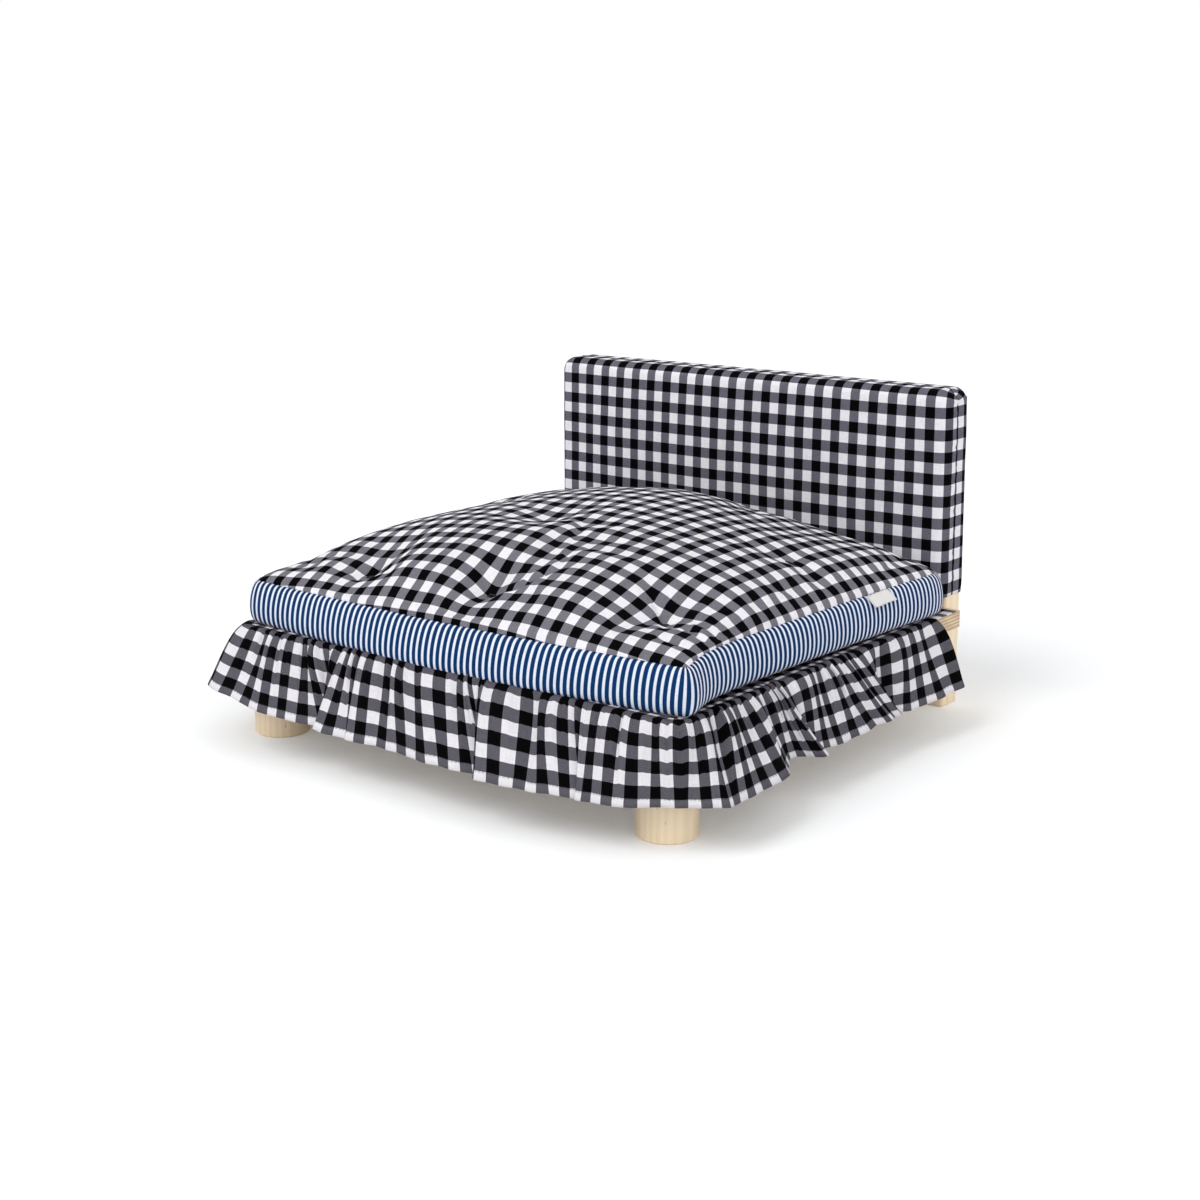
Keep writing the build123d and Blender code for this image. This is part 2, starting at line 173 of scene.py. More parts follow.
def build_object(name: str, patches: list[Patch]) -> Piece:
    """Joins patches into one smooth mesh object at the origin.

    Each grid becomes quads between neighbouring points, and points that
    coincide are merged, so that seams and poles close.

    Args:
        name: the piece's name.
        patches: the grids, with the flat coordinates that become the UV map.

    Returns:
        The linked object.
    """
    corners, points, flat, start = [], [], [], 0
    for patch in patches:
        rows, columns = patch.points.shape[:2]
        index = start + np.arange(rows * columns).reshape(rows, columns)
        ring = [index[:-1, :-1], index[1:, :-1], index[1:, 1:], index[:-1, 1:]]
        quads = np.stack(ring[::-1] if patch.flip else ring, axis=-1).reshape(-1, 4)
        corners.append(quads)
        points.append(patch.points.reshape(-1, 3))
        flat.append(patch.flat.reshape(-1, 2))
        start += rows * columns
    quads = np.concatenate(corners)
    mesh = bpy.data.meshes.new(name)
    mesh.from_pydata(np.concatenate(points).tolist(), [], quads.tolist())
    layer = mesh.uv_layers.new(name=UV_MAP)
    layer.data.foreach_set("uv", np.concatenate(flat)[quads.ravel()].astype(np.float32).ravel())
    work = bmesh.new()
    work.from_mesh(mesh)
    bmesh.ops.remove_doubles(work, verts=work.verts, dist=MERGE_DISTANCE)
    work.to_mesh(mesh)
    work.free()
    mesh.polygons.foreach_set("use_smooth", [True] * len(mesh.polygons))
    mesh.update()
    piece = bpy.data.objects.new(name, mesh)
    bpy.context.scene.collection.objects.link(piece)
    return piece


def tube(path: Array, radius: Array, sides: int = 8) -> Patch:
    """A closed tube round a path.

    Each ring is centre plus radius times (cosine, sine) in the plane square to
    the path, and the first and last radii are 0, so that the ends close.

    Args:
        path: the centre points.
        radius: the tube's radius at each point.
        sides: faces round the tube.

    Returns:
        The tube as a patch.
    """
    forward = np.gradient(path, axis=0)
    forward /= np.linalg.norm(forward, axis=1)[:, None]
    across = np.cross(forward, np.array([0.0, 0.05, 1.0]))
    across /= np.linalg.norm(across, axis=1)[:, None]
    upward = np.cross(across, forward)
    angle = np.linspace(0.0, TURN, sides + 1)
    cosine, sine = (wave(angle)[None, :, None] for wave in (np.cos, np.sin))
    spoke = cosine * across[:, None] + sine * upward[:, None]
    points = path[:, None] + radius[:, None, None] * spoke
    along = np.repeat(path_length(path)[:, None], sides + 1, axis=1)
    around = np.repeat((angle * radius.max())[None], len(path), axis=0)
    return Patch(points, np.stack([along, around], axis=-1), flip=True)


def finish_cloth(piece: Piece, thickness: float, levels: int = 0) -> None:
    """Gives a cloth surface its thickness towards the inside, after any subdivision."""
    if levels:
        smooth = piece.modifiers.new("smooth", "SUBSURF")
        smooth.levels = smooth.render_levels = levels
        smooth.uv_smooth = "PRESERVE_BOUNDARIES"
    wall = piece.modifiers.new("cloth", "SOLIDIFY")
    wall.thickness = thickness
    wall.offset = -1.0


# ------------------------------------------------------------ material tools


class Wiring:
    """Adds nodes to one tree and links them, so that a finish reads like its formula."""

    def __init__(self, tree: Tree) -> None:
        """Keeps the tree that the nodes go into."""
        self.tree = tree

    def feed(self, socket: Socket, value: Feed) -> None:
        """Links a socket to another, or writes a plain value on it."""
        if isinstance(value, Socket):
            self.tree.links.new(value, socket)
        else:
            socket.default_value = value

    def add(self, kind: str, settings: dict | None = None, feeds: dict | None = None) -> Node:
        """Adds a node.

        Args:
            kind: Blender's name for the node.
            settings: the node's own properties.
            feeds: what each input gets, by name or number.

        Returns:
            The new node.
        """
        node = self.tree.nodes.new(kind)
        for key, value in (settings or {}).items():
            setattr(node, key, value)
        for key, value in (feeds or {}).items():
            self.feed(node.inputs[key], value)
        return node

    def math(self, operation: str, *values: Feed, clamp: bool = False) -> Socket:
        """One step of arithmetic on numbers."""
        settings = {"operation": operation, "use_clamp": clamp}
        return self.add("ShaderNodeMath", settings, dict(enumerate(values))).outputs[0]

    def stretch(
        self, vector: Feed, scale: Sequence[float], turn: Sequence[float] = (0.0, 0.0, 0.0)
    ) -> Socket:
        """Turns and then scales coordinates with a Mapping node."""
        feeds = {"Vector": vector, "Rotation": turn, "Scale": scale}
        return self.add("ShaderNodeMapping", feeds=feeds).outputs[0]

    def noise(self, vector: Feed, scale: float, detail: float = 2.0) -> Socket:
        """Smooth noise of 0 to 1."""
        feeds = {"Vector": vector, "Scale": scale, "Detail": detail, "Roughness": 0.5}
        return self.add("ShaderNodeTexNoise", {"noise_dimensions": "3D"}, feeds).outputs[0]

    def span(
        self, value: Feed, low: float, high: float, to_low: float = 0.0, to_high: float = 1.0
    ) -> Socket:
        """Maps low to high onto another range with soft ends."""
        feeds = {0: value, 1: low, 2: high, 3: to_low, 4: to_high}
        settings = {"interpolation_type": "SMOOTHSTEP"}
        return self.add("ShaderNodeMapRange", settings, feeds).outputs[0]

    def mix(self, share: Feed, first: Feed, second: Feed) -> Socket:
        """Blends two colours."""
        feeds = {0: share, 6: first, 7: second}
        return self.add("ShaderNodeMix", {"data_type": "RGBA"}, feeds).outputs[2]

    def tint(self, colour: Feed, tone: Feed) -> Socket:
        """Multiplies a colour by a tone."""
        node = self.add("ShaderNodeVectorMath", {"operation": "SCALE"}, {0: colour, "Scale": tone})
        return node.outputs[0]

    def split(self, vector: Feed) -> bpy.types.NodeOutputs:
        """The three parts of a vector."""
        return self.add("ShaderNodeSeparateXYZ", feeds={0: vector}).outputs

    def place(self) -> Socket:
        """The point in the object's own coordinates."""
        return self.add("ShaderNodeTexCoord").outputs["Object"]

    def flat(self) -> Socket:
        """The point in the cloth's flat coordinates."""
        return self.add("ShaderNodeUVMap", {"uv_map": UV_MAP}).outputs[0]

    def group(self, tree: Tree, feeds: dict) -> bpy.types.NodeOutputs:
        """Places a node group and gives its outputs."""
        node = self.add("ShaderNodeGroup", {"node_tree": tree})
        for key, value in feeds.items():
            self.feed(node.inputs[key], value)
        return node.outputs


class Effect:
    """A shared shader node group with named inputs and outputs."""

    def __init__(self, name: str, inputs: dict[str, float | None], outputs: Sequence[str]) -> None:
        """Makes the group's sockets.

        Args:
            name: the group's name.
            inputs: each input with its usual value, or None for a vector.
            outputs: the names of the outputs, all numbers.
        """
        self.tree = bpy.data.node_groups.new(name, "ShaderNodeTree")
        interface = self.tree.interface
        for label, usual in inputs.items():
            kind = "NodeSocketVector" if usual is None else "NodeSocketFloat"
            socket = interface.new_socket(name=label, in_out="INPUT", socket_type=kind)
            if usual is not None:
                socket.default_value = usual
        for label in outputs:
            interface.new_socket(name=label, in_out="OUTPUT", socket_type="NodeSocketFloat")
        self.wiring = Wiring(self.tree)
        self.source = self.tree.nodes.new("NodeGroupInput").outputs
        self.result = self.tree.nodes.new("NodeGroupOutput").inputs

    def give(self, label: str, value: Socket) -> None:
        """Links a value to one of the group's outputs."""
        self.tree.links.new(value, self.result[label])


def make_check_effect() -> Tree:
    """Bands of dyed thread both ways.

    Along each axis the dyed share is one half plus the widening, less sharpness
    times the cosine of the distance over the period, kept from 0 to 1, after a
    slow drift of the line.
    """
    inputs = {
        "Vector": None, "Period": CHECK_PERIOD, "Sharpness": 12.0, "Drift": 0.0004, "Widen": 0.0,
    }
    effect = Effect("dyed_bands", inputs, ["Across", "Along"])
    w, source = effect.wiring, effect.source
    parts = w.split(source["Vector"])
    per_metre_off, per_metre_along = 25.0, 9.0
    for label, axis, other in (("Across", 0, 1), ("Along", 1, 0)):
        off = w.math("MULTIPLY", parts[axis], per_metre_off)
        along = w.math("MULTIPLY", parts[other], per_metre_along)
        far = w.add("ShaderNodeCombineXYZ", feeds={0: off, 1: along, 2: float(axis)}).outputs[0]
        wander = w.math("SUBTRACT", w.noise(far, 1.0, 1.0), 0.5)
        wander = w.math("MULTIPLY", wander, source["Drift"])
        place = w.math("ADD", parts[axis], w.math("MULTIPLY", wander, 2.0))
        turn = w.math("MULTIPLY", w.math("DIVIDE", place, source["Period"]), TURN)
        wave = w.math("MULTIPLY", w.math("COSINE", turn), source["Sharpness"])
        middle = w.math("ADD", source["Widen"], 0.5)
        effect.give(label, w.math("SUBTRACT", middle, wave, clamp=True))
    return effect.tree


def make_weave_effect() -> Tree:
    """Plain weave at thread scale.

    Over is 1 where the lengthwise thread lies on top, from the sign of the sines
    of both distances over the pitch. Height is the root of the size of their
    product, and Slub is noise drawn out along the threads.
    """
    effect = Effect("plain_weave", {"Vector": None, "Pitch": 0.0005}, ["Over", "Height", "Slub"])
    w, source = effect.wiring, effect.source
    parts = w.split(source["Vector"])
    waves = [
        w.math("SINE", w.math("MULTIPLY", w.math("DIVIDE", parts[axis], source["Pitch"]), math.pi))
        for axis in (0, 1)
    ]
    product = w.math("MULTIPLY", *waves)
    effect.give("Over", w.math("MULTIPLY_ADD", product, 3.0, 0.5, clamp=True))
    effect.give("Height", w.math("SQRT", w.math("ABSOLUTE", product)))
    warp = w.noise(w.stretch(source["Vector"], (1400.0, 90.0, 1.0)), 1.0, 1.0)
    weft = w.noise(w.stretch(source["Vector"], (90.0, 1400.0, 1.0)), 1.0, 1.0)
    effect.give("Slub", w.math("MULTIPLY", w.math("ADD", warp, weft), 0.5))
    return effect.tree


def make_handling_effect() -> Tree:
    """Soft unevenness of used cloth.

    Broad noise becomes a tone near 1, and fine noise becomes the roughness.
    """
    effect = Effect("handled_cloth", {"Vector": None, "Amount": 0.06}, ["Tone", "Rough"])
    w, source = effect.wiring, effect.source
    broad = w.math("SUBTRACT", w.noise(source["Vector"], 16.0, 3.0), 0.5)
    effect.give("Tone", w.math("MULTIPLY_ADD", broad, source["Amount"], 1.0))
    effect.give("Rough", w.span(w.noise(source["Vector"], 240.0, 2.0), 0.3, 0.7, 0.82, 0.95))
    return effect.tree


def make_timber_effect() -> Tree:
    """Softwood with its grain along Z.

    Rings follow the distance from a bent pith line, as a sine of that distance
    over the ring spacing. Pores are noise drawn out along Z, and flecks are
    short brown dashes where a stretched noise passes a threshold.
    """
    effect = Effect("softwood", {"Vector": None, "Spacing": 0.007}, ["Rings", "Pores", "Flecks"])
    w, source = effect.wiring, effect.source
    slow = w.noise(w.stretch(source["Vector"], (14.0, 14.0, 2.5)), 1.0, 2.0)
    parts = w.split(source["Vector"])
    bend = w.math("MULTIPLY_ADD", slow, 0.022, parts[0])
    across = w.math("MULTIPLY_ADD", parts[1], 0.55, bend)
    turn = w.math("MULTIPLY", w.math("DIVIDE", across, source["Spacing"]), TURN)
    effect.give("Rings", w.span(w.math("SINE", turn), -0.9, 1.0))
    effect.give("Pores", w.noise(w.stretch(source["Vector"], (1300.0, 1300.0, 45.0)), 1.0, 2.0))
    dash = w.noise(w.stretch(source["Vector"], (520.0, 520.0, 110.0)), 1.0, 1.0)
    effect.give("Flecks", w.span(dash, 0.71, 0.78))
    return effect.tree


@dataclass
class Effects:
    """The node groups that the finishes share, each built once."""

    check: Tree
    weave: Tree
    handling: Tree
    timber: Tree

    @classmethod
    def build(cls) -> "Effects":
        """Makes every group."""
        makers = (make_check_effect, make_weave_effect, make_handling_effect, make_timber_effect)
        return cls(*(maker() for maker in makers))


def new_material(name: str) -> tuple[Material, Wiring, Node]:
    """A material with its wiring helper and its Principled shader."""
    material = bpy.data.materials.new(name)
    material.use_nodes = True
    tree = material.node_tree
    tree.nodes.clear()
    wiring = Wiring(tree)
    shader = wiring.add("ShaderNodeBsdfPrincipled")
    wiring.add("ShaderNodeOutputMaterial", feeds={"Surface": shader.outputs[0]})
    return material, wiring, shader


def wire_surface(
    w: Wiring, shader: Node, colour: Feed, roughness: Feed, height: Feed, relief: float
) -> None:
    """Feeds a shader its surface.

    Args:
        w: the material's wiring.
        shader: its Principled shader.
        colour: what feeds the base colour.
        roughness: what feeds the roughness.
        height: the relief's height, which a bump turns into the normal.
        relief: the depth of that relief in metres.
    """
    w.feed(shader.inputs["Base Color"], colour)
    w.feed(shader.inputs["Roughness"], roughness)
    bump = w.add("ShaderNodeBump", feeds={"Height": height, "Distance": relief, "Strength": 1.0})
    w.feed(shader.inputs["Normal"], bump.outputs[0])


@dataclass(frozen=True)
class WovenFinish:
    """Cotton woven from dyed and plain thread, in bands both ways or one way.

    Where both bands are dyed the cloth is dark, where neither is it is light, and
    where one is, single threads of both show as the half tone.
    """

    name: str
    dark: Colour
    light: Colour
    half_dark: Colour
    half_light: Colour
    period: float
    both_ways: bool = True
    sharpness: float = 14.0
    drift: float = 0.0006
    widen: float = 0.0
    thread: float = 0.0005
    weave_depth: float = 0.00012
    stitch_from_hem: float = 0.0
    stitch_pitch: float = 0.0032
    specular: float = 0.02

    def make(self, effects: Effects) -> Material:
        """Builds the material.

        Args:
            effects: the shared node groups.

        Returns:
            The material, which reads the piece's flat coordinates.
        """
        material, w, shader = new_material(self.name)
        flat = w.flat()
        feeds = {
            "Vector": flat, "Period": self.period, "Sharpness": self.sharpness,
            "Drift": self.drift, "Widen": self.widen,
        }
        bands = w.group(effects.check, feeds)
        weave = w.group(effects.weave, {"Vector": flat, "Pitch": self.thread})
        handled = w.group(effects.handling, {"Vector": w.place()})
        if self.both_ways:
            half = w.mix(weave["Over"], self.half_dark, self.half_light)
            dyed = w.math("ADD", bands["Across"], bands["Along"])
            low = w.mix(w.math("MULTIPLY", dyed, 1.0, clamp=True), self.light, half)
            colour = w.mix(w.math("SUBTRACT", dyed, 1.0, clamp=True), low, self.dark)
        else:
            stripe = w.mix(weave["Over"], self.dark, self.half_dark)
            colour = w.mix(bands["Across"], self.light, stripe)
        slub = w.math("MULTIPLY_ADD", weave["Slub"], 0.5, 0.75)
        height = w.math("MULTIPLY_ADD", weave["Slub"], 0.6, weave["Height"])
        if self.stitch_from_hem:
            parts = w.split(flat)
            off = w.math("ABSOLUTE", w.math("SUBTRACT", parts[1], self.stitch_from_hem))
            line = w.span(off, 0.0003, 0.0009, 1.0, 0.0)
            wave = w.math("SINE", w.math("MULTIPLY", parts[0], TURN / self.stitch_pitch))
            stitch = w.math("MULTIPLY", line, w.span(wave, -0.75, -0.35))
            colour = w.mix(w.math("MULTIPLY", stitch, 0.4), colour, self.half_dark)
            height = w.math("SUBTRACT", height, w.math("MULTIPLY", line, 1.6))
        colour = w.tint(colour, w.math("MULTIPLY", handled["Tone"], slub))
        wire_surface(w, shader, colour, handled["Rough"], height, self.weave_depth)
        shader.inputs["Specular IOR Level"].default_value = self.specular
        return material


@dataclass(frozen=True)
class PlainClothFinish:
    """Undyed or single-coloured cloth, tape or thread, with its weave in relief and painted shade
    between the threads.
    """

    name: str
    colour: Colour
    shade: Colour
    thread: float = 0.0006
    weave_depth: float = 0.00015
    specular: float = 0.3
    sheen: float = 0.1

    def make(self, effects: Effects) -> Material:
        """Builds the material from the shared weave and handling effects."""
        material, w, shader = new_material(self.name)
        weave = w.group(effects.weave, {"Vector": w.flat(), "Pitch": self.thread})
        handled = w.group(effects.handling, {"Vector": w.place()})
        # Painted shade: the hollows between the threads take the darker colour, and slub varies it
        # at random
        share = w.span(w.math("MULTIPLY", weave["Height"], weave["Slub"]), 0.1, 0.6)
        colour = w.tint(w.mix(share, self.shade, self.colour), handled["Tone"])
        wire_surface(w, shader, colour, handled["Rough"], weave["Height"], self.weave_depth)
        shader.inputs["Specular IOR Level"].default_value = self.specular
        shader.inputs["Sheen Weight"].default_value = self.sheen
        return material


@dataclass(frozen=True)
class FoamFinish:
    """Cut upholstery foam: a pale body with open cells in relief, whose hollows are darkened by
    painted shade.
    """

    name: str = "foam"
    colour: Colour = (0.80, 0.70, 0.46, 1.0)
    cell_shade_colour: Colour = (0.55, 0.45, 0.25, 1.0)
    cells_per_metre: float = 900.0
    cell_depth: float = 0.0004

    def make(self) -> Material:
        """Builds the material from cells at two sizes."""
        material, w, shader = new_material(self.name)
        place = w.place()
        feeds = {"Vector": place, "Scale": self.cells_per_metre}
        cells = w.add("ShaderNodeTexVoronoi", feeds=feeds).outputs["Distance"]
        large = w.noise(place, 60.0, 3.0)
        depth = w.math("MULTIPLY_ADD", large, 0.25, w.span(cells, 0.15, 0.6))
        # Painted shade: where the relief is low, in the cell hollows, the colour darkens; the broad
        # noise adds random tone
        colour = w.mix(w.span(depth, 0.1, 0.8), self.cell_shade_colour, self.colour)
        rough = w.span(large, 0.2, 0.8, 0.85, 1.0)
        wire_surface(w, shader, colour, rough, depth, self.cell_depth)
        return material


@dataclass(frozen=True)
class TimberFinish:
    """Sanded pale softwood: early and late wood, pores and small brown flecks."""

    name: str
    early: Colour = (0.930, 0.770, 0.550, 1.0)
    late: Colour = (0.850, 0.660, 0.435, 1.0)
    fleck: Colour = (0.36, 0.19, 0.085, 1.0)
    spacing: float = 0.0075
    pore_depth: float = 0.00008
    grain: Grain = Grain.UP

    def make(self, effects: Effects) -> Material:
        """Builds the material with the grain turned to its axis."""
        material, w, shader = new_material(self.name)
        turned = w.stretch(w.place(), (1.0, 1.0, 1.0), self.grain.value)
        wood = w.group(effects.timber, {"Vector": turned, "Spacing": self.spacing})
        body = w.mix(w.math("MULTIPLY", wood["Rings"], 0.5), self.early, self.late)
        pored = w.mix(w.span(wood["Pores"], 0.45, 0.75, 0.0, 0.4), body, self.late)
        colour = w.mix(w.math("MULTIPLY", wood["Flecks"], 0.7), pored, self.fleck)
        rough = w.span(wood["Pores"], 0.2, 0.8, 0.5, 0.66)
        height = w.math("MULTIPLY_ADD", wood["Rings"], 0.5, wood["Pores"])
        wire_surface(w, shader, colour, rough, height, self.pore_depth)
        return material


@dataclass(frozen=True)
class PlywoodFinish:
    """Birch plywood: a plain face, and thin plies in two tones where an edge shows."""

    name: str = "plywood"
    face: Colour = (0.76, 0.60, 0.40, 1.0)
    dark_ply: Colour = (0.42, 0.27, 0.15, 1.0)
    ply: float = 0.0016
    ring_spacing: float = 0.018
    ply_depth: float = 0.00006

    def make(self, effects: Effects, thin_axis: int) -> Material:
        """Builds the material.

        Args:
            effects: the shared node groups.
            thin_axis: the axis that the plies are stacked along.

        Returns:
            The material. Plies follow a square wave of the distance along that axis.
        """
        material, w, shader = new_material(f"{self.name}_{'xyz'[thin_axis]}")
        place = w.place()
        normal = w.add("ShaderNodeTexCoord").outputs["Normal"]
        turned = w.stretch(place, (1.0, 1.0, 1.0), Grain.ACROSS.value)
        wood = w.group(effects.timber, {"Vector": turned, "Spacing": self.ring_spacing})
        body = w.mix(w.math("MULTIPLY", wood["Rings"], 0.3), self.face, self.dark_ply)
        turn = w.math("MULTIPLY", w.split(place)[thin_axis], math.pi / self.ply)
        layers = w.math("MULTIPLY_ADD", w.math("SINE", turn), 6.0, 0.5, clamp=True)
        edge = w.span(w.math("ABSOLUTE", w.split(normal)[thin_axis]), 0.3, 0.7, 1.0, 0.0)
        shown = w.math("MULTIPLY", w.math("MULTIPLY", layers, edge), 0.75)
        colour = w.mix(shown, body, self.dark_ply)
        rough = w.span(wood["Pores"], 0.2, 0.8, 0.55, 0.75)
        height = w.math("ADD", wood["Pores"], layers)
        wire_surface(w, shader, colour, rough, height, self.ply_depth)
        return material


@dataclass(frozen=True)
class ZincFinish:
    """Zinc-plated steel: a grey metal with cloudy roughness and fine scratches."""

    name: str = "zinc"
    bright: Colour = (0.62, 0.63, 0.65, 1.0)
    dull: Colour = (0.42, 0.43, 0.44, 1.0)
    scratch_depth: float = 0.00002

    def make(self) -> Material:
        """Builds the material."""
        material, w, shader = new_material(self.name)
        place = w.place()
        cloud = w.noise(place, 180.0, 4.0)
        scratch = w.noise(w.stretch(place, (3000.0, 200.0, 3000.0)), 1.0, 1.0)
        colour = w.mix(w.span(cloud, 0.35, 0.65), self.dull, self.bright)
        rough = w.span(cloud, 0.3, 0.7, 0.3, 0.5)
        shader.inputs["Metallic"].default_value = 1.0
        wire_surface(w, shader, colour, rough, scratch, self.scratch_depth)
        return material


def dress(piece: Piece, material: Material) -> None:
    """Gives a piece its material, on the object's own slot, so that a CAD mesh stays as packed."""
    if not piece.material_slots:
        piece.data.materials.append(material)
    for material_slot in piece.material_slots:
        material_slot.link = "OBJECT"
        material_slot.material = material


def place_piece(piece: Piece, body: Body, slot: str, *nodes: str) -> None:
    """Rides a new piece on its body, hides the nodes it stands for, and reports it."""
    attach(piece, body.value)
    if nodes:
        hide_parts(*nodes)
    LOG.info("%s: %d faces on body %s", piece.name, len(piece.data.polygons), body.value)


# ------------------------------------------------------------------ finishes


@dataclass
class Finishes:
    """Every material of the bed."""

    gingham: Material
    lit_top_gingham: Material
    shaded_skirt_gingham: Material
    ticking: Material
    lining: Material
    label_tape: Material
    thread: Material
    foam: Material
    pine: dict[Grain, Material]
    plywood: dict[int, Material]
    zinc: Material

    @classmethod
    def build(cls) -> "Finishes":
        """Makes the shared effects and then the materials."""
        effects = Effects.build()
        black = (0.0018, 0.0018, 0.0021, 1.0)
        white = (0.86, 0.845, 0.885, 1.0)
        half = ((0.055, 0.052, 0.066, 1.0), (0.22, 0.21, 0.26, 1.0))
        # Painted light: a lighter copy of the half tones, for the cushion's top
        lit_half = ((0.074, 0.072, 0.085, 1.0), (0.295, 0.290, 0.335, 1.0))
        # Painted shade: darker copies of the half tones and the white, for the skirt
        shaded_half = ((0.042, 0.040, 0.048, 1.0), (0.168, 0.160, 0.190, 1.0))
        shaded_white = (0.775, 0.760, 0.795, 1.0)
        tape = ((0.92, 0.91, 0.90, 1.0), (0.80, 0.79, 0.78, 1.0))
        dark_thread = ((0.03, 0.03, 0.034, 1.0), (0.006, 0.006, 0.007, 1.0))
        cloths = (
            WovenFinish("gingham", black, white, *half, CHECK_PERIOD),
            WovenFinish("gingham_top_lit", black, white, *lit_half, CHECK_PERIOD),
            WovenFinish(
                "gingham_hemmed_shaded", black, shaded_white, *shaded_half, CHECK_PERIOD,
                stitch_from_hem=0.0046,
            ),
            WovenFinish(
                "ticking", (0.001, 0.026, 0.120, 1.0), (0.85, 0.85, 0.88, 1.0),
                (0.004, 0.058, 0.215, 1.0), (0.85, 0.85, 0.88, 1.0), 0.00664,
                both_ways=False, sharpness=5.0, widen=1.5, drift=0.0005, thread=0.00035,
            ),
            PlainClothFinish("lining", (0.74, 0.70, 0.62, 1.0), (0.56, 0.52, 0.45, 1.0)),
            PlainClothFinish("label_tape", *tape, 0.0004),
            PlainClothFinish("thread", *dark_thread, 0.0003),
        )
        pines = {grain: TimberFinish(f"pine_{grain.name.lower()}", grain=grain) for grain in Grain}
        return cls(
            *(cloth.make(effects) for cloth in cloths),
            FoamFinish().make(),
            {grain: pine.make(effects) for grain, pine in pines.items()},
            {axis: PlywoodFinish().make(effects, axis) for axis in (1, 2)},
            ZincFinish().make(),
        )


# ---------------------------------------------------------------- headboard


